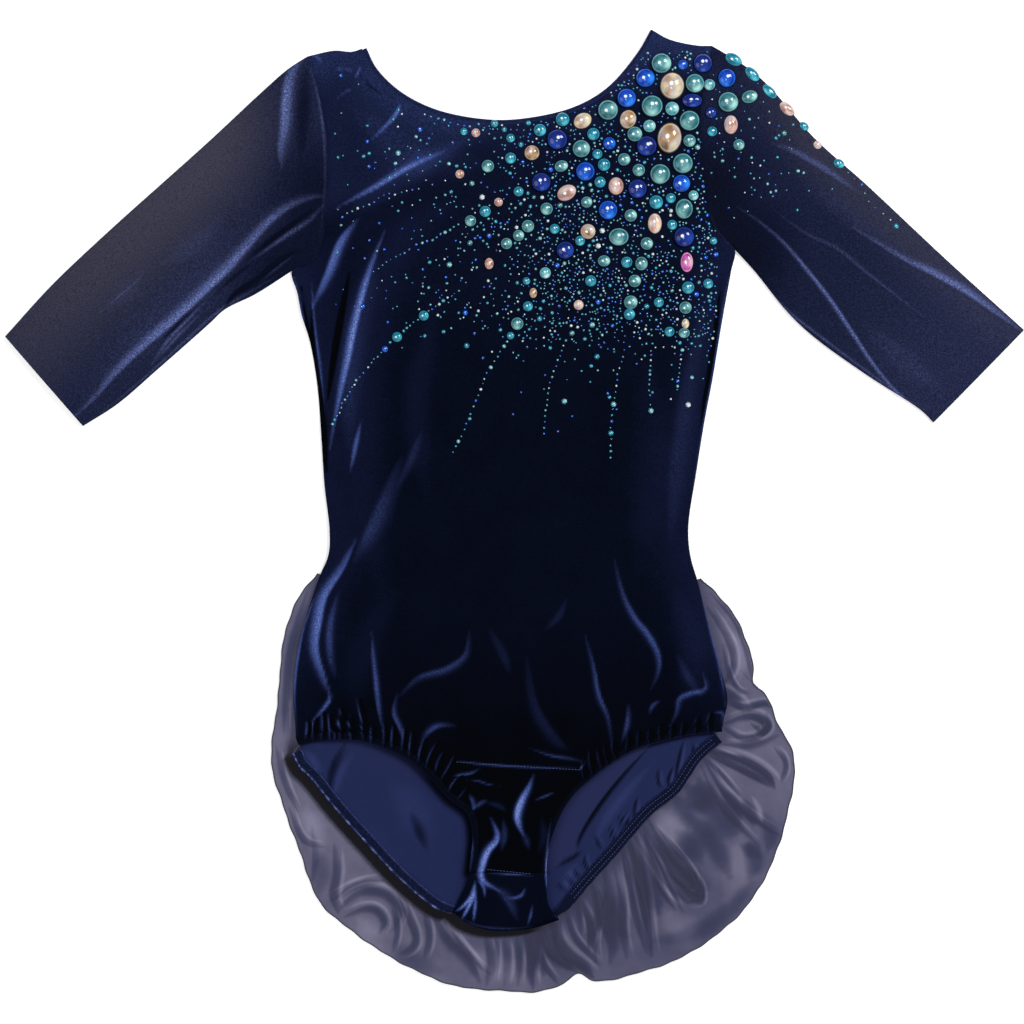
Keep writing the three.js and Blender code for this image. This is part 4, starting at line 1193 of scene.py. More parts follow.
def to_object(name: str, bm: bmesh.types.BMesh, finish: Finish) -> bpy.types.Object:
    """Turn a bmesh into a smooth-shaded object at the origin.

    Args:
        name: the piece's name.
        bm: its shape, which is freed.
        finish: its finish.

    Returns:
        The object.
    """
    mesh = to_mesh(name, bm)
    mesh.polygons.foreach_set("use_smooth", [True] * len(mesh.polygons))
    mesh.materials.append(finish.material)
    return put_in_scene(name, mesh)


def paint(piece: bpy.types.Object, name: str, values: Array, kind: str = "FLOAT") -> None:
    """Store a number, a vector or a colour for each point of a piece's mesh.

    Args:
        piece: the piece to mark.
        name: the layer's name, which its material reads.
        values: one value for each point.
        kind: the layer's type.
    """
    field_name = {"FLOAT": "value", "FLOAT_VECTOR": "vector", "FLOAT_COLOR": "color"}[kind]
    layer = piece.data.attributes.new(name, kind, "POINT")
    layer.data.foreach_set(field_name, np.asarray(values, dtype=np.float32).ravel())


def plan_of(piece: bpy.types.Object) -> Array:
    """Return each point's place on the table, in millimetres.

    Args:
        piece: the piece to measure.

    Returns:
        X and Y of each point.
    """
    flat = np.empty(3 * len(piece.data.vertices))
    piece.data.vertices.foreach_get("co", flat)
    return flat.reshape(-1, 3)[:, :2] / MM


def thicken(piece: bpy.types.Object, thickness: float) -> None:
    """Give a sheet its wall, in millimetres, below its upper face.

    Args:
        piece: the sheet.
        thickness: of its wall.
    """
    wall = piece.modifiers.new("wall", "SOLIDIFY")
    wall.thickness = thickness * MM
    wall.offset = -1.0
    wall.use_even_offset = False


def weld(bm: bmesh.types.BMesh, distance: float) -> None:
    """Join the points of a mesh that lie within a distance in millimetres."""
    bmesh.ops.remove_doubles(bm, verts=bm.verts, dist=distance * MM)


def with_height(plan: Array, height: Array) -> Array:
    """Return places with their height as a third column."""
    return np.column_stack([plan, height])


def bend_of(edge: Array, first: Array, last: Array, u: Array) -> Array:
    """Return how far an edge departs from the straight line between its ends."""
    return edge - mix(first[None, :], last[None, :], u)


@dataclass
class BodyPanel:
    """A front or back panel in plan.

    Attributes:
        neck_inset: how far its neckline stays inside the garment's.
        leg_splines: its leg edges.
        leg_inset: the width of what is sewn on each of them, in millimetres.
        crotch: the shares across between which the crotch lies.
        neck: the shares across between which the neckline lies.
        leg_to: the share of the leg splines where this grid stops.
        lowest: how far down it goes.
    """

    NECK_SPAN = 0.62
    LEG_FROM = 0.74

    neck_inset: float
    leg_splines: tuple[Spline, Spline]
    leg_inset: tuple[float, float]
    crotch: tuple[float, float]
    neck: tuple[float, float]
    leg_to: float
    lowest: float

    def leg_line(self, side: int) -> Array:
        """Return the panel's own leg edge as a fine line."""
        return self.leg_point(side, np.linspace(0.0, 1.0, 160))

    def leg_point(self, side: int, t: Array) -> Array:
        """Return the panel's own leg edge: inset from the garment's, down to its last share.

        Args:
            side: 0 for the photo's left, 1 for its right.
            t: shares of the edge.

        Returns:
            A place for each share.
        """
        inset = (1.0, -1.0)[side] * self.leg_inset[side]
        point = self.leg_splines[side].beside(np.asarray(t) * self.leg_to, inset)
        point[:, 1] = np.maximum(point[:, 1], self.lowest)
        return point

    def top(self, u: Array) -> Array:
        """Return the top edge: shoulder, neckline, shoulder.

        Args:
            u: shares across.

        Returns:
            A place for each share.
        """
        first, second = self.neck
        across = np.clip((u - first) / (second - first), 0, 1)
        neckline = CUT.neck.beside(CUT.neck.even(across), -self.neck_inset)
        corners = CUT.neck.beside([0.0, 1.0], -self.neck_inset)
        left = Spline([*CUT.shoulder_left[:-1], tuple(corners[0])])
        right = Spline([tuple(corners[1]), *CUT.shoulder_right[1:]])
        to_left = left.at(left.even(np.clip(u / first, 0, 1)))
        to_right = right.at(right.even(np.clip((u - second) / (1 - second), 0, 1)))
        out = np.where((u <= first)[:, None], to_left, neckline)
        return np.where((u >= second)[:, None], to_right, out)

    def bottom(self, u: Array) -> Array:
        """Return the bottom edge: leg edge, crotch, leg edge.

        Args:
            u: shares across.

        Returns:
            A place for each share.
        """
        first, second = self.crotch
        corners = (self.leg_point(0, [1.0])[0], self.leg_point(1, [1.0])[0])
        across = np.clip((u - first) / (second - first), 0, 1)
        middle = mix(corners[0][None, :], corners[1][None, :], across)
        out = np.where((u <= first)[:, None], self.leg_point(0, np.clip(u / first, 0, 1)), middle)
        return np.where((u >= second)[:, None], self.leg_point(1, np.clip((1 - u) / (1 - second), 0, 1)), out)

    def plan(self, u: Array, v: Array) -> Array:
        """Return places on the table for shares across and down the panel.

        Args:
            u: shares across.
            v: shares down.

        Returns:
            A place for each pair of shares.
        """
        row = CUT.left.even(v)
        ends = self.bottom(np.array([0.0, 1.0]))
        tops = self.top(np.array([0.0, 1.0]))
        last = smooth(0.93, 1.0, row)[:, None]
        left = CUT.left.at(row) + last * (ends[0] - CUT.left.at([1.0]))
        right = CUT.right.at(row) + last * (ends[1] - CUT.right.at([1.0]))
        top_bend = bend_of(self.top(u), *tops, u)
        bottom_bend = bend_of(self.bottom(u), *ends, u)
        top_share = (1.0 - np.minimum(row / self.NECK_SPAN, 1.0)) ** 3
        bottom_share = np.clip((row - self.LEG_FROM) / (1.0 - self.LEG_FROM), 0.0, 1.0) ** 1.5
        return mix(left, right, u) + top_bend * top_share[:, None] + bottom_bend * bottom_share[:, None]


FRONT = BodyPanel(
    neck_inset=3.8, leg_splines=CUT.front_legs, leg_inset=(4.3, 4.3),
    crotch=(10 / 26, 16 / 26), neck=(4 / 26, 22 / 26), leg_to=CUT.CROTCH_START, lowest=CUT.GUSSET_Y,
)
BACK = BodyPanel(
    neck_inset=5.0, leg_splines=CUT.back_legs, leg_inset=(6.3, 9.3),
    crotch=(5 / 14, 9 / 14), neck=(2 / 14, 12 / 14), leg_to=1.0, lowest=-307.0,
)


@dataclass
class Body:
    """The front, the back and the crotch piece.

    Attributes:
        columns: cells across the front.
        rows: cells down the front.
        crotch_rows: cells down its crotch strip.
        wall: how thick the gusset is, in millimetres.
        folds: the folds and marks of the front and the gusset.
        divide: where the lining folds over inside the right leg opening.
        pale_patch: the middle of the warmer patch inside the left one.
    """

    STRIP_SHARE = 6 / 26
    CHEST_FOLD = (-132.0, 226.0)
    CHEST_SLOPE = 0.52
    HIGHEST_FOLD = 322.0

    columns: int = 234
    rows: int = 300
    crotch_rows: int = 50
    wall: float = 0.7
    folds: list[Stroke] = field(default_factory=lambda: [*Marks.BODY, *Marks.CROTCH, *Marks.gathers()])
    divide: Path = ((104, -172), (83.7, -193.8), (62.3, -220.6), (47.8, -245.1), (45, -257), (28, -268))
    pale_patch: Path = ((-118.0, -178.0), (-80.0, -192.0))

    def front_height(self, plan: Array) -> Array:
        """Return the top of the velvet at each place.

        Args:
            plan: the places, in millimetres.

        Returns:
            A height for each place.
        """
        height, _ = press(self.folds, plan)
        seams = sum(Heights.seam(line, plan) for line in CUT.armholes)
        return Heights.front(plan) + height + seams

    def crotch_plan(self, u: Array, v: Array) -> Array:
        """Return places on the strip between the legs, above the crotch seam.

        Args:
            u: shares across.
            v: shares down.

        Returns:
            A place for each pair of shares.
        """
        share = (CUT.CROTCH_START + (1.0 - CUT.CROTCH_START) * v) / FRONT.leg_to
        plan = mix(FRONT.leg_point(0, share), FRONT.leg_point(1, share), u)
        plan[:, 1] = np.where(v > 1.0 - 1e-6, CUT.GUSSET_Y, plan[:, 1])
        return plan

    def build_front(self) -> bpy.types.Object:
        """Return the front panel, with the crotch strip as part of its mesh."""
        def upper(u: Array, v: Array) -> Array:
            """Place the upper grid."""
            plan = FRONT.plan(u, 1.0 - (1.0 - v) ** 1.3)
            return with_height(plan, self.front_height(plan))

        def lower(u: Array, v: Array) -> Array:
            """Place the crotch strip."""
            plan = self.crotch_plan(u, v)
            return with_height(plan, self.front_height(plan))

        bm = grid_mesh(self.columns, self.rows, upper)
        strip = to_mesh("strip", grid_mesh(round(self.columns * self.STRIP_SHARE), self.crotch_rows, lower))
        bm.from_mesh(strip)
        bpy.data.meshes.remove(strip)
        weld(bm, 0.05)
        piece = to_object("front_panel", bm, Finish.BODY_VELVET)
        plan = plan_of(piece)
        _, tone = press(self.folds, plan)
        x, y = plan.T
        # Painted sheen: the velvet is painted lighter toward its outline, where it rounds over, over the
        # chest and shoulders, and away from the crotch; the strokes add painted highlights and painted shade
        sides = smooth(44.0, 0.0, Heights.to_silhouette(plan))
        fold = self.CHEST_FOLD[1] + self.CHEST_SLOPE * (x - self.CHEST_FOLD[0])
        over_fold = smooth(-10.0, 12.0, y - np.minimum(fold, self.HIGHEST_FOLD))
        shoulders = over_fold * smooth(-12.0, -6.0, y - fold)
        chest = 0.35 * smooth(60.0, 260.0, y) + 0.65 * np.maximum(shoulders, smooth(300.0, 350.0, y))
        low = smooth(-215.0, -60.0, y)
        paint(piece, "tone", 0.09 * low + (0.05 + 0.06 * low) * sides + 0.17 * chest + tone)
        paint(piece, "warm", np.zeros(len(plan)))
        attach(piece, "root")
        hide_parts("front")
        return piece

    def build_back(self) -> bpy.types.Object:
        """Return the back panel, whose inside shows through the leg openings.

        Beyond the line where the fabric folds over, its colour turns warmer, and a shadow is painted right
        under the front's leg edges.
        """
        strokes = Marks.lining()

        def place(u: Array, v: Array) -> Array:
            """Place the grid."""
            plan = BACK.plan(u, 1.0 - (1.0 - v) ** 1.6)
            height, _ = press(strokes, plan)
            return with_height(plan, Heights.back(plan) + height * smooth(-150.0, -180.0, plan[:, 1]))

        piece = to_object("back_panel", grid_mesh(196, 240, place), Finish.LINING)
        plan = plan_of(piece)
        _, tone = press(strokes, plan)
        away, _, side = nearest(Spline(self.divide).line(24), plan)
        strip = smooth(-0.4, 0.6, -side * away) * (plan[:, 0] > 18)
        upper_left = smooth(24.0, 6.0, nearest(np.array(self.pale_patch), plan)[0])
        # Painted shadow right under the front's leg edges, which stand above the lining; the strokes add
        # painted highlights and painted shade
        to_front, share, _ = nearest(CUT.front_legs[0].line(60), plan)
        under = bell(to_front, 4.4) * smooth(0.18, 0.45, share) + 0.5 * bell(to_front, 2.4)
        under = np.maximum(under, 0.5 * bell(nearest(CUT.front_legs[1].line(60), plan)[0], 2.0))
        paint(piece, "tone", (0.5 + 0.5 * tone) * (1.0 - 0.95 * np.clip(under, 0.0, 1.0)))
        paint(piece, "warm", np.maximum(0.75 * strip * (1.0 + np.minimum(tone, 0.0)), 0.3 * upper_left))
        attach(piece, "root")
        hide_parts("back")
        return piece

    def build_gusset(self) -> bpy.types.Object:
        """Return the crotch piece: front layer, fold and the short layer sewn to the back."""
        left, right = CUT.gusset_sides
        front_share = 0.66
        seam = [0.0, -0.3]

        def place(u: Array, v: Array) -> Array:
            """Place the grid, which runs down the front, round the fold and up the back."""
            down = np.clip(v / front_share, 0.0, 1.0)
            fold = bend_of(CUT.crotch.at(u), *CUT.crotch.at([0.0, 1.0]), u)
            plan = mix(left.at(down) + seam, right.at(down) + seam, u) + fold * down[:, None]
            up = np.clip((v - front_share) / (1.0 - front_share), 0.0, 1.0)
            end = np.column_stack([plan[:, 0] * 0.9, plan[:, 1] + 5.0])
            plan = mix(plan, end, up)
            height, _ = press(self.folds, plan)
            to_fold = smooth(0.9, 1.0, down)
            upper = Heights.front(plan) + height * (1.0 - 0.5 * to_fold) - 2.2 * to_fold * (up <= 0)
            lower = Heights.back(plan) - 0.4
            turned = smooth(0.0, 0.12, up)
            return with_height(plan, np.where(up > 0, upper * (1.0 - turned) + lower * turned, upper))

        piece = to_object("gusset_panel", grid_mesh(60, 60, place), Finish.BODY_VELVET)
        plan = plan_of(piece)
        _, tone = press(self.folds, plan)
        # Painted highlights and painted shade from the folds
        paint(piece, "tone", 0.08 + tone)
        paint(piece, "warm", np.zeros(len(plan)))
        thicken(piece, self.wall)
        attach(piece, "root")
        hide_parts("gusset")
        return piece


@dataclass
class Sleeve:
    """A tapered sleeve, flattened as it lies.

    Attributes:
        side: 0 for the one at low X, 1 for the other.
        strokes: its folds.
        around: cells round it.
        along: cells from armhole to cuff.
        hem_depth: how far the turned hem's line lies from the cuff, in millimetres.
        warmth: how much painted grey-purple sheen lies along the upper edge, from 0 to 1.
        warm_reach: how far that goes in from the edge, in millimetres.
        base: the tone of its pile at the armhole.
        toward_cuff: how much lighter the pile is near the cuff.
    """

    BED = 1.2
    ROLL = 2.4
    LOFT = 2.4

    side: int
    strokes: tuple[Stroke, ...]
    warmth: float
    warm_reach: float
    base: float
    toward_cuff: float = 0.0
    around: int = 250
    along: int = 250
    hem_depth: float = 18.0

    def plan(self, u: Array, v: Array) -> Array:
        """Return places for shares across the sleeve and along it.

        Args:
            u: shares across.
            v: shares along.

        Returns:
            A place for each pair of shares.
        """
        body = (CUT.left, CUT.right)[self.side]
        over, under = CUT.over_arms[self.side], CUT.under_arms[self.side]
        seam = body.at(u * CUT.ARMPIT) + [(0.1, -0.1)[self.side], 0.0]
        start = bend_of(seam, *body.at([0.0, CUT.ARMPIT]), u)
        return mix(over.at(over.even(v)), under.at(under.even(v)), u) + start * ((1.0 - v) ** 4)[:, None]

    def build(self) -> bpy.types.Object:
        """Return the sleeve."""
        def place(w: Array, v: Array) -> Array:
            """Place the ring: the upper layer first, then the lower one back."""
            upper = w <= 0.5
            u = np.where(upper, 2.0 * w, 2.0 - 2.0 * w)
            plan = self.plan(u, v)
            height, _ = press(self.strokes, plan)
            edge = Heights.to_silhouette(plan)
            roll = rounded(edge, self.ROLL)
            loft = self.LOFT * (1.0 - np.exp(-edge / Heights.LOFT_REACH))
            seam = Heights.seam(CUT.armholes[self.side], plan)
            top = self.BED * (1.0 + roll) + loft + height * roll + seam
            return with_height(plan, np.where(upper, top, self.BED * (1.0 - roll)))

        name = ("sleeve_left_tube", "sleeve_right_tube")[self.side]
        bm = grid_mesh(self.around, self.along, place)
        weld(bm, 0.02)
        bmesh.ops.recalc_face_normals(bm, faces=bm.faces)
        piece = to_object(name, bm, Finish.SLEEVE_VELVET)
        plan = plan_of(piece)
        _, tone = press(self.strokes, plan)
        cuff = np.array([CUT.over_arms[self.side].at([1.0])[0], CUT.under_arms[self.side].at([1.0])[0]])
        to_seam = nearest(CUT.armholes[self.side], plan)[0]
        to_over = nearest(CUT.over_arms[self.side].line(30), plan)[0]
        # Painted grey-purple sheen along the upper edge, strongest partway down the sleeve
        along = smooth(10.0, 90.0, to_seam) * (1.0 - 0.5 * smooth(90.0, 250.0, to_seam))
        warm = self.warmth * along * smooth(self.warm_reach, 4.0, to_over)
        # Painted shade: darker near the underarm seam; the strokes add painted highlights and painted shade
        under_arm = CUT.armholes[self.side][len(CUT.armholes[self.side]) // 2 :]
        deep = smooth(66.0, 6.0, nearest(under_arm, plan)[0])
        hem_line = bell(nearest(cuff, plan)[0] - self.hem_depth, 0.9)
        base = self.base + self.toward_cuff * smooth(60.0, 190.0, to_seam)
        paint(piece, "tone", base - 0.2 * deep + 0.85 * tone + 0.02 * hem_line)
        paint(piece, "warm", warm * (1.0 - 0.8 * np.clip(tone, 0.0, 1.0)))
        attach(piece, "root")
        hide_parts(("sleeve_left", "sleeve_right")[self.side])
        return piece


@dataclass
class Skirt:
    """The sheer circular skirt and its rolled hem.

    Attributes:
        columns: cells along the hem.
        hidden: cells under the body.
        free: cells from the body's edge to the hem.
        hem_radius: of the rolled hem, in millimetres.
        folds: the skirt's folds.
    """

    BED = 0.5
    RIPPLE = 0.35
    HIGHEST_FOLD = 6.0
    CAST = (8.5, 6.3)

    columns: int = 860
    hidden: int = 6
    free: int = 94
    hem_radius: float = 0.5
    folds: list[Stroke] = field(default_factory=Marks.skirt)

    def exits(self, u: Array) -> Array:
        """Return the share of the way from seam to hem where the body's edge is passed.

        Args:
            u: shares along the seam.

        Returns:
            A share of the way for each.
        """
        steps = np.linspace(0.0, 0.985, 160)
        start = CUT.skirt_seam.at(CUT.skirt_seam.even(u))
        end = CUT.hem.at(CUT.hem.even(u))
        found = np.full(len(u), 0.985)
        for step in steps[::-1]:
            out = ~inside(CUT.edge, mix(start, end, np.full(len(u), step)))
            found = np.where(out & (found >= step), step, found)
        return found

    def height(self, plan: Array) -> Array:
        """Return the top of the chiffon.

        Args:
            plan: the places, in millimetres.

        Returns:
            A height for each place.
        """
        distance, _, _ = nearest(CUT.edge, plan)
        outside = ~inside(CUT.edge, plan)
        fold, _ = press(self.folds, plan)
        free = smooth(1.0, 16.0, distance) * outside
        x, y = plan.T
        ripple = self.RIPPLE * (1.0 + np.sin(x / 5.1 + np.sin(y / 7.0)) * np.sin(y / 8.3))
        return self.BED + free * (np.clip(fold, 0.0, self.HIGHEST_FOLD) + ripple)

    def build(self) -> bpy.types.Object:
        """Return the skirt."""
        table = np.linspace(0.0, 1.0, 401)
        exits = self.exits(table)

        def place(u: Array, v: Array) -> Array:
            """Place the grid."""
            start = CUT.skirt_seam.at(CUT.skirt_seam.even(u))
            end = CUT.hem.at(CUT.hem.even(u))
            knee = self.hidden / (self.hidden + self.free)
            leaves = np.interp(u, table, exits)
            share = np.where(v < knee, leaves * v / knee, leaves + (1.0 - leaves) * (v - knee) / (1.0 - knee))
            plan = mix(start, end, share)
            return with_height(plan, self.height(plan))

        bm = grid_mesh(self.columns, self.hidden + self.free, place)
        piece = to_object("skirt_sheer", bm, Finish.CHIFFON)
        plan = plan_of(piece)
        _, tone = press(self.folds, plan)
        x, y = plan.T
        # Darker in the lower middle and toward the right; painted shade right beside the body's edge; the
        # folds add darker layers, painted shade and painted highlights
        dark_low_middle = np.exp(-(((x - 60.0) / 135.0) ** 2) - ((y + 300.0) / 75.0) ** 2)
        beside = smooth(14.0, 0.0, nearest(CUT.edge, plan)[0]) * ~inside(CUT.edge, plan)
        base = 0.20 - 0.12 * smooth(60.0, 210.0, x) - 0.42 * dark_low_middle - 0.35 * beside
        paint(piece, "tone", base + 1.2 * tone)
        # Painted shadow of the lifted leg edge
        paint(piece, "shade", self.shade(plan))
        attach(piece, "root")
        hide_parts("skirt")
        return piece

    def shade(self, plan: Array) -> Array:
        """Return how dark the cloth lies where the lifted leg edge hides it from the light.

        Args:
            plan: the places, in millimetres.

        Returns:
            A share of full shade for each place.
        """
        cast = np.array(self.CAST)
        dark = sum(inside(CUT.edge, plan + share * cast) / 3.0 for share in (0.8, 0.93, 1.06))
        ends = smooth(-166.0, -186.0, plan[:, 1]) * smooth(24.0, 10.0, plan[:, 0])
        return 0.95 * dark * ends * ~inside(CUT.edge, plan + 0.02 * cast)

    def build_hem(self) -> bpy.types.Object:
        """Return the rolled hem, a thin cord of turned cloth along the edge."""
        def place(w: Array, v: Array) -> Array:
            """Place a tube round the hem."""
            angle = w * 2.0 * np.pi
            t = CUT.hem.even(v)
            wave = 0.25 * np.sin(v * 330.0) + 0.2 * np.sin(v * 163.0)
            middle = CUT.hem.beside(t, wave)
            out = CUT.hem.beside(t, wave + self.hem_radius * np.cos(angle))
            height = self.height(middle) + 0.2 + self.hem_radius * np.sin(angle)
            return with_height(out, height)

        bm = grid_mesh(8, 900, place)
        weld(bm, 0.005)
        ends = [e for e in bm.edges if e.is_boundary]
        bmesh.ops.holes_fill(bm, edges=ends)
        bmesh.ops.recalc_face_normals(bm, faces=bm.faces)
        piece = to_object("skirt_rolled_hem", bm, Finish.HEM_THREAD)
        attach(piece, "root")
        return piece


@dataclass
class Edging:
    """A narrow strip sewn along an edge.

    Attributes:
        name: the piece's name.
        node: the solid that it stands for.
        line: the edge that it follows, in millimetres.
        width: of the strip.
        facing: 1 where it lies on the left of the line's direction, -1 on the right.
        height: turns places into the height of what it is sewn to.
        waves: how many ruffles it has.
        ruffle: how far they stand out and up.
        rim: how light the painted highlight along its outer rim is.
        base: how light the rest is.
        rows_of_stitch: where rows of stitching sink in, as shares of the width.
        strokes: folds that run on into it.
        stations: cells along it.
        taper: the share of its width that is left at the end.
        beyond: how far it runs on past the end of the line, in millimetres.
        slot: the slot of its finish; not used.
    """

    name: str
    node: str
    line: Array
    width: float
    facing: float
    height: Callable[[Array], Array]
    waves: int = 0
    ruffle: float = 0.0
    rim: float = 0.4
    base: float = 0.2
    rows_of_stitch: tuple[float, ...] = ()
    strokes: Sequence[Stroke] = ()
    stations: int = 360
    taper: float = 1.0
    beyond: float = 0.01
    slot: str = "elastic"

    def build(self) -> bpy.types.Object:
        """Return the strip."""
        last = self.line[-1] - self.line[-2]
        line = np.vstack([self.line, self.line[-1] + self.beyond * last / np.linalg.norm(last)])
        steps = np.hypot(*np.diff(line, axis=0).T)
        reach = np.concatenate([[0.0], np.cumsum(steps)]) / steps.sum()
        along = np.gradient(line, axis=0)
        along /= np.linalg.norm(along, axis=1)[:, None]
        normal = np.column_stack([-along[:, 1], along[:, 0]]) * self.facing

        def follow(t: Array, distance: Array) -> Array:
            """Return places beside the line."""
            at = np.column_stack([np.interp(t, reach, line[:, k]) for k in (0, 1)])
            out = np.column_stack([np.interp(t, reach, normal[:, k]) for k in (0, 1)])
            return at + out * distance[:, None]

        def wave(t: Array) -> Array:
            """Return the ruffle at shares of the length, uneven as a hand leaves it."""
            if not self.waves:
                return np.zeros(len(t))
            turn = 2.0 * np.pi * self.waves * t
            return 0.5 + 0.35 * np.sin(turn) + 0.2 * np.sin(1.7 * turn + 1.3) + 0.1 * np.sin(3.1 * turn)

        def place(u: Array, v: Array) -> Array:
            """Place the grid across and along the strip."""
            t = 0.004 + 0.996 * v
            ruffle = self.ruffle * wave(t) * u
            width = self.width * (1.0 - (1.0 - self.taper) * smooth(0.9, 1.0, t))
            plan = follow(t, -0.2 + width * u + ruffle)
            crown = 0.9 * np.sqrt(np.clip(1.0 - (2.0 * u - 1.0) ** 2, 0.0, 1.0))
            grooves = sum((-0.35 * bell(u - row, 0.05) for row in self.rows_of_stitch), np.zeros(len(u)))
            drawn_up, _ = press(self.strokes, plan)
            return with_height(plan, self.height(plan) + crown + 0.5 * ruffle + grooves + drawn_up)

        piece = to_object(self.name, grid_mesh(12, self.stations, place), Finish.ELASTIC)
        plan = plan_of(piece)
        distance, share, _ = nearest(line, plan)
        across = np.clip(distance / self.width, 0.0, 1.2)
        uneven = 0.35 + 0.65 * wave(share) if self.waves else 1.0
        # Painted highlight along the outer rim, and along the inner edge where no folds run in; the strokes
        # add painted highlights and painted shade
        lit = self.rim * bell(across - 1.0, 0.6 / self.width) * uneven
        lit += 0.4 * self.rim * bell(across - 0.06, 0.08) * (not self.strokes)
        _, tone = press(self.strokes, plan)
        paint(piece, "tone", self.base + lit + 0.8 * tone)
        paint(piece, "warm", np.zeros(len(plan)))
        thicken(piece, 0.9)
        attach(piece, "root")
        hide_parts(self.node)
        return piece


class Kind(Enum):
    """Stone colours, each with its foil and the pale colour that its painted glow, crescent and ring take."""

    SEA = ("#246874", "#a0dad4")
    TURQUOISE = ("#0d6a86", "#52c6d6")
    PALE = ("#3f939f", "#c2ecea")
    ROYAL = ("#0638a6", "#2a86f4")
    DARK = ("#0a1c68", "#2450bc")
    AURORA = ("#8a6e52", "#f2dfbc")
    PINK = ("#b58084", "#f6d2ca")
    CLEAR = ("#a4bac2", "#ffffff")
    MAGENTA = ("#b0409c", "#fbe4d6")


STONE_LETTERS = {
    "G": Kind.SEA, "T": Kind.TURQUOISE, "P": Kind.PALE, "B": Kind.ROYAL, "D": Kind.DARK,
    "A": Kind.AURORA, "K": Kind.PINK, "C": Kind.CLEAR, "M": Kind.MAGENTA,
}

# Each large stone: its letter, then x, y, width, length and turn
CABOCHONS = """
G110,336,16,16,0 B98,325,15,15,0 B84,310,15,15,0 D141,336,15,15,0 B126,335,8,8,0 A118,319,19,21,0
G135,321,15,15,0 P146,320,9,9,0 B159,325,14,15,0 T164,339,14,9,-30 T178,328,14,8,-45 G103,304,17,17,0
D133,308,16,11,0 G70,301,16,16,0 P118,302,11,11,0 A85,294,13,15,-15 A51,293,15,12,30 T36,294,11,11,0
T19,286,10,10,0 D32,279,16,16,0 A13,269,12,12,0 T-3,265,9,9,0 G50,272,14,14,0 T59,283,10,10,0
G35,259,11,9,20 B71,276,10,10,0 T62,268,8,8,0 G90,283,12,12,0 P101,289,10,10,0 D99,274,16,16,0
A116,280,19,24,-8 G131,293,16,16,0 G131,278,10,10,0 G126,261,16,16,0 G109,253,16,16,0 G93,256,10,10,0
G82,264,10,10,0 T67,260,10,10,0 B53,255,15,15,0 T64,247,9,9,0 D20,247,15,15,0 K39,239,16,12,30
K76,244,12,14,0 D92,242,15,15,0 B125,246,14,14,0 P134,237,8,8,0 T106,232,11,11,0 T117,235,8,8,0
G127,227,14,16,0 G54,232,9,9,0 G24,227,10,10,0 T3,240,8,8,0 B70,226,15,15,0 G87,222,10,10,0 K105,216,11,16,0
A55,210,12,12,0 G10,214,10,10,0 T30,212,8,8,0 D147,299,9,9,0 G160,307,16,16,0 G176,311,13,10,20
K162,290,11,15,0 T148,285,8,8,-30 G168,275,9,9,0 T191,315,14,7,-45 K204,302,14,8,-42 T217,289,8,6,-40
K227,275,7,6,-40 T243,261,9,7,-30 G78,206,16,14,0 T49,203,8,8,0 G99,201,10,10,0 T118,215,8,8,0
D127,206,16,16,0 T149,203,6,6,0 G3,207,9,9,0 G-6,201,9,9,0 D38,196,14,14,0 G67,188,10,9,0 T84,187,9,9,0
G95,186,10,11,0 M129,187,10,16,0 P23,179,9,9,0 T57,173,9,9,0 T9,173,6,6,0 G90,173,10,10,0 T130,168,10,10,0
T145,171,8,8,0 A14,164,6,8,0 K48,155,8,8,0 T10,154,8,8,0 G87,157,11,11,0 T86,148,9,9,0 T108,157,8,8,0
G128,153,10,10,0 G2,141,10,10,0 T-3,132,6,6,0 T116,135,8,8,0 A128,141,6,8,0 G127,134,9,8,0 T-68,147,8,8,0
T-88,131,8,8,0 B-97,122,5,5,0 K-29,284,7,7,0 T-38,285,6,6,0 T-3,280,7,7,0 T-15,291,6,6,0 G-20,259,10,10,0
K-41,253,7,7,0 K-12,232,7,7,0 T-22,225,9,9,0 G-33,218,9,9,0 K-19,186,7,9,0
"""


@dataclass(frozen=True)
class Bed:
    """Where a stone lies and how large it is, in millimetres and degrees.

    Attributes:
        x: across the garment.
        y: up the garment.
        width: of the stone.
        length: of the stone.
        turn: of its long side.
        rise: how far its dome stands up.
    """

    x: float
    y: float
    width: float
    length: float
    turn: float
    rise: float

    def matrix(self, height: float) -> Matrix:
        """Return the matrix that puts a stone of radius 1 on cloth of that height."""
        return (
            Matrix.Translation(Vector((self.x, self.y, height - 0.25)) * MM)
            @ Matrix.Rotation(math.radians(self.turn), 4, "Z")
            @ Matrix.Diagonal((0.5 * self.width * MM, 0.5 * self.length * MM, self.rise * MM, 1.0))
        )


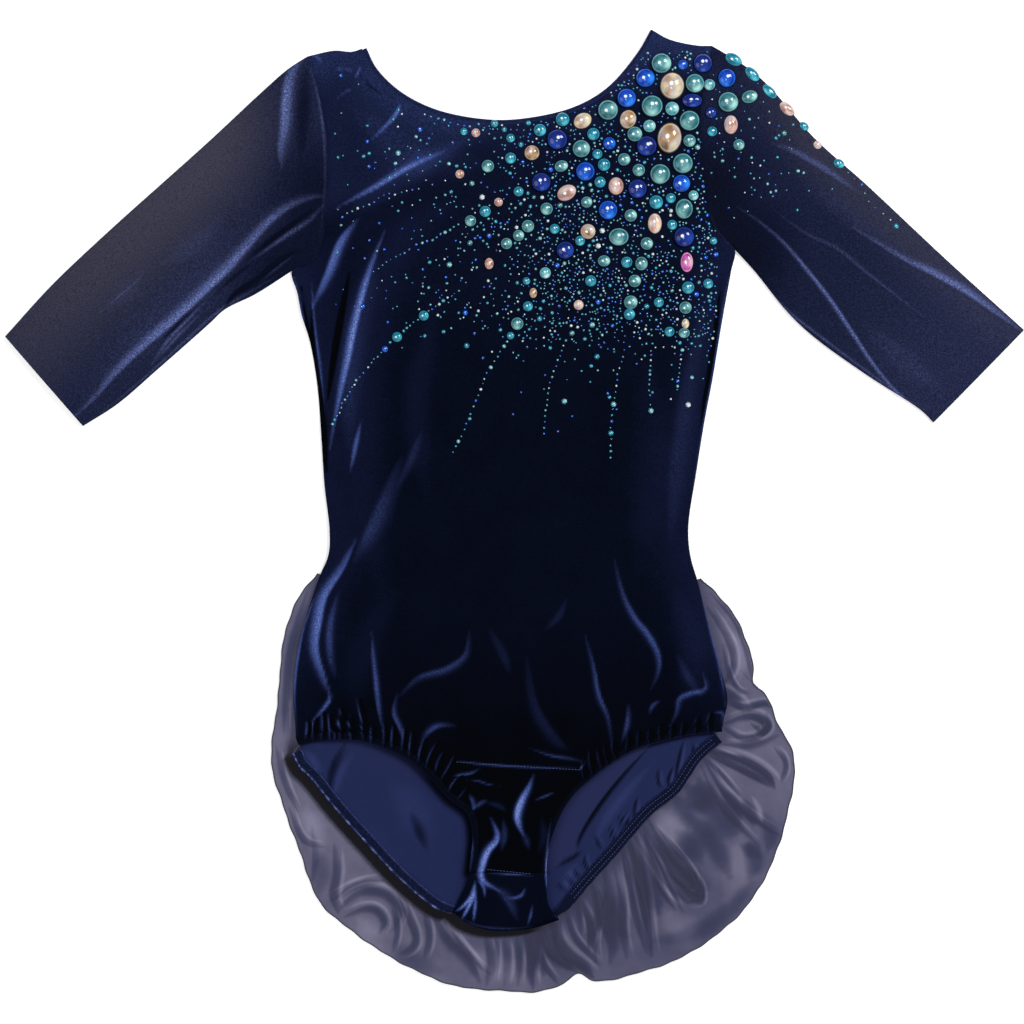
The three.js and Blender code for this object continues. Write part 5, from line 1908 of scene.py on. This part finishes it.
@dataclass
class Stones:
    """The glued stones: domed cabochons and a scatter of small crystals.

    Attributes:
        top: turns places into the height of the velvet under a stone.
        facets: how many sides a large stone's dome has.
        rise: how high the dome stands, as a share of the stone's smaller measure.
        crystals: how many small stones the scatter keeps at most, before those that touch others go.
        tries: how many places the scatter draws.
        sizes: the small stones' stock sizes, in millimetres, and how often each comes.
    """

    top: Callable[[Array], Array]
    facets: int = 20
    rise: float = 0.34
    crystals: int = 4300
    tries: int = 42000
    sizes: tuple[tuple[float, float], ...] = ((1.5, 0.39), (1.9, 0.3), (2.5, 0.17), (3.3, 0.09), (4.6, 0.05))

    def read(self) -> tuple[list[Kind], list[Bed]]:
        """Return the cabochons' kinds and where they lie."""
        kinds, beds = [], []
        for word in CABOCHONS.split():
            x, y, width, length, turn = (float(part) for part in word[1:].split(","))
            kinds.append(STONE_LETTERS[word[0]])
            beds.append(Bed(x, y, width, length, turn, self.rise * min(width, length)))
        return kinds, beds

    def dome(self, segments: int, rings: int) -> bpy.types.Mesh:
        """Return the upper part of a ball, closed underneath, as a stone to copy.

        Args:
            segments: how many sides it has.
            rings: how many rings a whole ball would have.

        Returns:
            The stone's mesh.
        """
        bm = bmesh.new()
        bmesh.ops.create_uvsphere(bm, u_segments=segments, v_segments=rings, radius=1.0)
        everything = [*bm.verts, *bm.edges, *bm.faces]
        cut = bmesh.ops.bisect_plane(
            bm, geom=everything, plane_co=(0, 0, -0.1), plane_no=(0, 0, -1), clear_outer=True
        )
        rim = [g for g in cut["geom_cut"] if isinstance(g, bmesh.types.BMEdge)]
        bmesh.ops.holes_fill(bm, edges=rim)
        return to_mesh("stone", bm)

    def joined(
        self, name: str, template: bpy.types.Mesh, beds: list[Bed], kinds: list[Kind]
    ) -> bpy.types.Object:
        """Put a copy of a stone on each bed and join the copies.

        Args:
            name: the piece's name.
            template: the stone, which is used up.
            beds: where each copy lies.
            kinds: the colour of each copy.

        Returns:
            The joined piece.
        """
        heights = self.top(np.array([[bed.x, bed.y] for bed in beds]))
        phases = np.random.default_rng(5).uniform(size=len(beds))
        local = np.array([v.co[:] for v in template.vertices])
        faces = [tuple(polygon.vertices) for polygon in template.polygons]
        count = len(local)
        matrices = [bed.matrix(float(height)) for bed, height in zip(beds, heights)]
        copies = [local @ np.array(matrix.to_3x3()).T + np.array(matrix.translation) for matrix in matrices]
        every = [tuple(i + k * count for i in face) for k in range(len(beds)) for face in faces]
        template.clear_geometry()
        template.from_pydata(np.vstack(copies), [], every)
        bm = bmesh.new()
        bm.from_mesh(template)
        bpy.data.meshes.remove(template)
        piece = to_object(name, bm, Finish.GLASS)

        def spread(values: Sequence[Any]) -> Array:
            """Give each copy's value to all its points."""
            return np.repeat(np.asarray(values), count, axis=0)

        for part, layer in enumerate(("deep", "pale")):
            paint(piece, layer, spread([hex_linear(kind.value[part]) for kind in kinds]), "FLOAT_COLOR")
        paint(piece, "coated", spread([float(kind in (Kind.AURORA, Kind.PINK)) for kind in kinds]))
        within = np.tile(local, (len(beds), 1))
        within[:, 2] = spread(10.0 * phases)
        # Where each stone's painted crescent and painted white highlight lie, and how strong the crescent is
        turns = -0.9 + 2.6 * (phases - 0.5)
        strengths = 0.35 + 0.65 * ((7.3 * phases) % 1.0)
        gleam = np.column_stack([0.5 * np.cos(turns), 0.5 * np.sin(turns), strengths])
        paint(piece, "within", within, "FLOAT_VECTOR")
        paint(piece, "gleam", spread(gleam), "FLOAT_VECTOR")
        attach(piece, "root")
        return piece

    def build_cabochons(self) -> bpy.types.Object:
        """Return the large stones."""
        kinds, beds = self.read()
        return self.joined("stones_cabochon", self.dome(self.facets, 14), beds, kinds)

    def build_crystals(self) -> bpy.types.Object:
        """Return the small stones: a scatter that thins away from the shoulder, and thin falling lines."""
        random = np.random.default_rng(23)
        kinds = (Kind.PALE, *4 * (Kind.TURQUOISE,), Kind.SEA, *2 * (Kind.ROYAL,), Kind.DARK, Kind.CLEAR)
        tries = random.uniform((-135, 60), (152, 345), (self.tries, 2))
        tries = tries[self.share_at(tries) > random.uniform(size=len(tries))][: self.crystals]
        sleeve = random.uniform((146, 212), (238, 330), (300, 2))
        sleeve = sleeve[self.on_sleeve(sleeve) > random.uniform(size=len(sleeve))]
        falls = []
        for path, count in STREAMS:
            line = Spline(path)
            along = line.at(line.even(np.linspace(0.0, 1.0, count)))
            falls.append(along + random.normal(0, 0.35, (count, 2)))
        places = np.vstack([*falls, sleeve, tries])
        stock, often = zip(*self.sizes)
        sizes = random.choice(stock, len(places), p=often)
        _, stones = self.read()
        taken = np.array([(bed.x, bed.y, 0.5 * max(bed.width, bed.length)) for bed in stones])
        beds: list[Bed] = []
        for (x, y), size in zip(places, sizes):
            free = np.hypot(taken[:, 0] - x, taken[:, 1] - y) > taken[:, 2] + 0.5 * size + 0.15
            if free.all():
                taken = np.vstack([taken, (x, y, 0.5 * size)])
                turn = random.uniform(0, 60)
                beds.append(Bed(float(x), float(y), float(size), float(size), turn, 0.42 * size))
        chosen = [kinds[random.integers(len(kinds))] for _ in beds]
        return self.joined("stones_crystal", self.dome(6, 4), beds, chosen)

    @staticmethod
    def share_at(places: Array) -> Array:
        """Return how thickly crystals lie at places of the front, from 0 to 1.

        Args:
            places: the places, in millimetres.

        Returns:
            A share for each place.
        """
        x, y = places.T
        low_end = [(158.0, 150.0), (148.0, 90.0), (140.0, 50.0), (-144.0, 50.0)]
        chest = np.vstack([CUT.armholes[0][::-1], CUT.neck.line(30), CUT.armholes[1], low_end])
        allowed = inside(chest, places) & (Heights.to_silhouette(places) > 4.5)
        low = np.where(y > 150.0, 1.0, 0.05 + 0.95 * np.exp(-((150.0 - y) / 20.0) ** 2))
        low = low * smooth(40.0, 110.0, y)
        side = 0.025 + 0.975 * np.exp(-np.maximum(0.0, 34.0 - x) / 38.0)
        return allowed * low * side * np.where((y < 300) | (x > 20), 1.0, 0.35)

    @staticmethod
    def on_sleeve(places: Array) -> Array:
        """Return how thickly crystals lie at places of the right sleeve.

        Args:
            places: the places, in millimetres.

        Returns:
            A share for each place.
        """
        edge = nearest(CUT.over_arms[1].line(30), places)[0]
        under = CUT.under_arms[1].line(30)[::-1]
        outline = np.vstack([CUT.over_arms[1].line(30), under, CUT.armholes[1][::-1]])
        share = np.exp(-np.maximum(0.0, places[:, 0] - 152.0) / 42.0) * smooth(205.0, 250.0, places[:, 1])
        return share * (edge > 3.0) * inside(outline, places)


# Lines of small stones: the path that each falls along, and how many stones it has
STREAMS = (
    (((-129, 221), (-121, 226), (-108, 231), (-98.7, 236.9), (-89, 238.3), (-72, 241.5)), 15),
    (((-105.5, 180), (-91.8, 189.5), (-79.7, 195.6), (-71, 201), (-63, 203), (-49.6, 211), (-42, 216)), 20),
    (((-136, 66), (-131, 76), (-120, 95.7), (-105.5, 113.8), (-88, 131), (-68.5, 147.4), (-41.8, 165.4)), 42),
    (((-46, 45), (-36, 66), (-28, 85.4), (-21, 102.6), (-10, 120.7), (-2.7, 131.9)), 22),
    (((37, 125), (28, 100), (23, 72), (22, 59)), 17),
    (((82, 121), (76, 94), (72, 61), (72, 41)), 19),
    (((102, 121), (101, 98), (102, 73)), 14),
    (((126, 121), (123, 105), (122, 91)), 10),
    (((-62, 296.5), (-47, 291.5), (-30, 288.5), (-12, 287), (6, 286.5), (22, 287.5)), 18),
    (((244, 258), (259, 246), (266, 232), (281, 220), (286, 214)), 10),
    (((-105, 262), (-80, 272), (-62, 283)), 6),
)


@dataclass
class Stitches:
    """Rows of visible stitches, each a short strand.

    Attributes:
        height: turns places into the height of the cloth under them.
        length: of a stitch, in millimetres.
        pitch: from one stitch to the next.
        radius: of the thread.
    """

    height: Callable[[Array], Array]
    length: float = 1.9
    pitch: float = 2.4
    radius: float = 0.2

    def build(self, name: str, lines: Sequence[Array]) -> bpy.types.Object:
        """Return the stitches along the lines, joined.

        Args:
            name: the piece's name.
            lines: the lines to sew along.

        Returns:
            The piece.
        """
        bm = bmesh.new()
        for line in lines:
            steps = np.hypot(*np.diff(line, axis=0).T)
            reach = np.concatenate([[0.0], np.cumsum(steps)])
            at = np.arange(0.5 * self.pitch, reach[-1], self.pitch)
            here, ahead = (
                np.column_stack([np.interp(at + step, reach, line[:, k]) for k in (0, 1)])
                for step in (0.0, 0.5)
            )
            turns = np.arctan2(*(ahead - here).T[::-1])
            for place, turn, height in zip(here, turns, self.height(here)):
                matrix = (
                    Matrix.Translation(Vector((*place, height + 0.12)) * MM)
                    @ Matrix.Rotation(turn, 4, "Z")
                    @ Matrix.Diagonal((0.5 * self.length * MM, self.radius * MM, self.radius * MM, 1.0))
                )
                bmesh.ops.create_uvsphere(bm, u_segments=6, v_segments=5, radius=1.0, matrix=matrix)
        piece = to_object(name, bm, Finish.STITCH)
        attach(piece, "root")
        return piece


@dataclass(frozen=True)
class Studio:
    """The pale table, the soft lights and the camera straight above.

    Attributes:
        height: of the camera over the table, in metres.
        frame_mm: the width that the picture takes in at the table.
        centre: where the camera looks, in millimetres.
        sensor: the width of the camera's sensor, in millimetres.
        table_glow: how much light the table gives by itself, so that it shows white.
        world_glow: how bright the room is.
        lights: the name, place in metres, width in metres and power in watts of each lamp.
    """

    height: float = 3.2
    frame_mm: float = 768.0
    centre: tuple[float, float] = (-1.9, 0.0)
    sensor: float = 36.0
    table_glow: float = 0.3
    world_glow: float = 0.26
    lights: tuple[tuple[str, tuple[float, float, float], float, float], ...] = (
        ("key", (1.15, 1.05, 1.5), 0.8, 36.0),
        ("fill", (-1.5, -0.2, 1.3), 1.6, 14.0),
        ("low_edge", (0.3, -1.6, 1.0), 1.4, 8.0),
        ("above", (-0.25, -0.35, 3.7), 0.8, 16.0),
    )

    def build(self) -> None:
        """Put up the table, the lights and the camera."""
        bm = bmesh.new()
        bmesh.ops.create_grid(bm, x_segments=1, y_segments=1, size=40.0)
        bmesh.ops.translate(bm, vec=(0, 0, -0.0004), verts=bm.verts)
        table = put_in_scene("table", to_mesh("table", bm))
        recipe = Recipe("matt_white_laminate")
        table.data.materials.append(recipe.finish({
            "Base Color": hex_linear("#f7f7f7"), "Roughness": 0.9,
            "Emission Color": hex_linear("#ffffff"), "Emission Strength": self.table_glow,
        }))
        table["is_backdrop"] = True

        for name, place, size, power in self.lights:
            self.light(name, place, size, power)
        world = bpy.data.worlds.new("soft_room")
        bpy.context.scene.world = world
        world.use_nodes = True
        background = world.node_tree.nodes["Background"].inputs
        background["Color"].default_value = hex_linear("#ffffff")
        background["Strength"].default_value = self.world_glow
        bpy.context.scene.view_settings.view_transform = "Standard"

        camera = bpy.data.cameras.new("camera")
        camera.sensor_width = self.sensor
        camera.lens = self.sensor * self.height / (self.frame_mm * MM)
        camera.clip_end = 100.0
        holder = put_in_scene("camera", camera)
        holder.location = (self.centre[0] * MM, self.centre[1] * MM, self.height)
        bpy.context.scene.camera = holder

    @staticmethod
    def light(name: str, place: tuple[float, float, float], size: float, power: float) -> None:
        """Add a soft round light that faces the garment.

        Args:
            name: the lamp's name.
            place: where it stands, in metres.
            size: how wide it is, in metres.
            power: in watts.
        """
        lamp = bpy.data.lights.new(name, "AREA")
        lamp.shape = "DISK"
        lamp.size = size
        lamp.energy = power
        holder = put_in_scene(name, lamp)
        holder.location = place
        holder.rotation_euler = (-Vector(place)).to_track_quat("-Z", "Y").to_euler()


def build_edgings(body: Body) -> list[bpy.types.Object]:
    """Return the strips sewn along the edges: front legs, back legs and neck.

    Args:
        body: the body, whose crotch strip the front leg edges follow.

    Returns:
        The pieces, the left one of each pair first.
    """
    pieces = []
    folds = [*Marks.gathers(), *Marks.CROTCH]
    for side, name in enumerate(("left", "right")):
        lower = body.crotch_plan(np.full(60, float(side)), np.linspace(0.0, 1.0, 60))
        line = np.vstack([FRONT.leg_line(side)[:-1], lower])
        edging = Edging(
            f"front_leg_edge_{name}", f"leg_elastic_front_{name}", line, 4.0, (-1.0, 1.0)[side],
            Heights.front_edge, rim=(0.3, 0.6)[side], base=0.04, strokes=folds,
        )
        pieces.append(edging.build())
    left = Edging(
        "back_leg_edge_left", "leg_elastic_back_left", BACK.leg_line(0), 6.0, -1.0, Heights.back,
        waves=17, ruffle=1.2, rim=0.7, base=0.3, rows_of_stitch=(0.45,), taper=0.5, beyond=5.0,
    )
    right = Edging(
        "back_leg_edge_right", "leg_elastic_back_right", BACK.leg_line(1), 9.0, 1.0, Heights.back,
        waves=12, ruffle=0.3, rim=0.3, base=0.26, rows_of_stitch=(0.3, 0.68), taper=0.5, beyond=5.0,
    )
    neck_line = CUT.neck.beside(CUT.neck.even(np.linspace(0.0, 1.0, 200)), -FRONT.neck_inset)
    neck = Edging(
        "neck_turned_edge", "neck_binding", neck_line, 3.5, 1.0, Heights.front_edge,
        rim=0.28, base=0.36, slot="velvet",
    )
    return [*pieces, left.build(), right.build(), neck.build()]


def main() -> None:
    """Build the garment piece by piece and report each one."""
    logging.basicConfig(level=logging.INFO, format="%(message)s")
    Studio().build()
    body = Body()
    front = body.build_front()
    back = body.build_back()
    gusset = body.build_gusset()
    LOG.info("body panels: %s, %s, %s", front.name, back.name, gusset.name)

    left = Sleeve(0, Marks.SLEEVE_LEFT, warmth=0.85, warm_reach=78.0, base=0.28)
    right = Sleeve(1, Marks.SLEEVE_RIGHT, warmth=0.4, warm_reach=36.0, base=0.22, toward_cuff=0.12)
    sleeves = [left.build(), right.build()]
    LOG.info("sleeves: %s", ", ".join(sleeve.name for sleeve in sleeves))

    skirt_maker = Skirt()
    skirt = skirt_maker.build()
    hem = skirt_maker.build_hem()
    LOG.info("skirt: %s with %s", skirt.name, hem.name)

    edgings = build_edgings(body)
    LOG.info("edges: %s", ", ".join(edge.name for edge in edgings))

    def velvet_top(places: Array) -> Array:
        """Return the height of the velvet under a stone, on the front or the right sleeve."""
        seam = CUT.armholes[1][::-1]
        on_sleeve = (places[:, 0] > np.interp(places[:, 1], seam[:, 1], seam[:, 0])) & (places[:, 1] > 195.0)
        height, _ = press(Marks.SLEEVE_RIGHT, places)
        loft = Sleeve.LOFT * (1.0 - np.exp(-Heights.to_silhouette(places) / Heights.LOFT_REACH))
        return np.where(on_sleeve, 2.0 * Sleeve.BED + loft + height, body.front_height(places))

    stones = Stones(velvet_top)
    cabochons = stones.build_cabochons()
    crystals = stones.build_crystals()
    LOG.info("stones: %s, %s", cabochons.name, crystals.name)

    seams = Stitches(velvet_top).build(
        "seam_stitches",
        [Spline([(-44, -187), (-10, -189.5), (20, -191.5), (50, -193)]).line(40),
         Spline([(-21, -267.5), (-4, -269.2), (13, -271)]).line(20)],
    )
    band_line = CUT.back_legs[1]
    along = band_line.even(np.linspace(0.03, 0.9, 120))
    bands = Stitches(lambda places: Heights.back(places) + 0.9).build(
        "band_stitches", [band_line.beside(along, -distance) for distance in (3.0, 6.5)]
    )
    LOG.info("stitching: %s, %s", seams.name, bands.name)

    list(edgings[:2])


if __name__ == "__main__":
    main()
    boxes = {"cad": CAD_BOX, "visual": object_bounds()}
    {name: [list(corner) for corner in box] for name, box in boxes.items()}
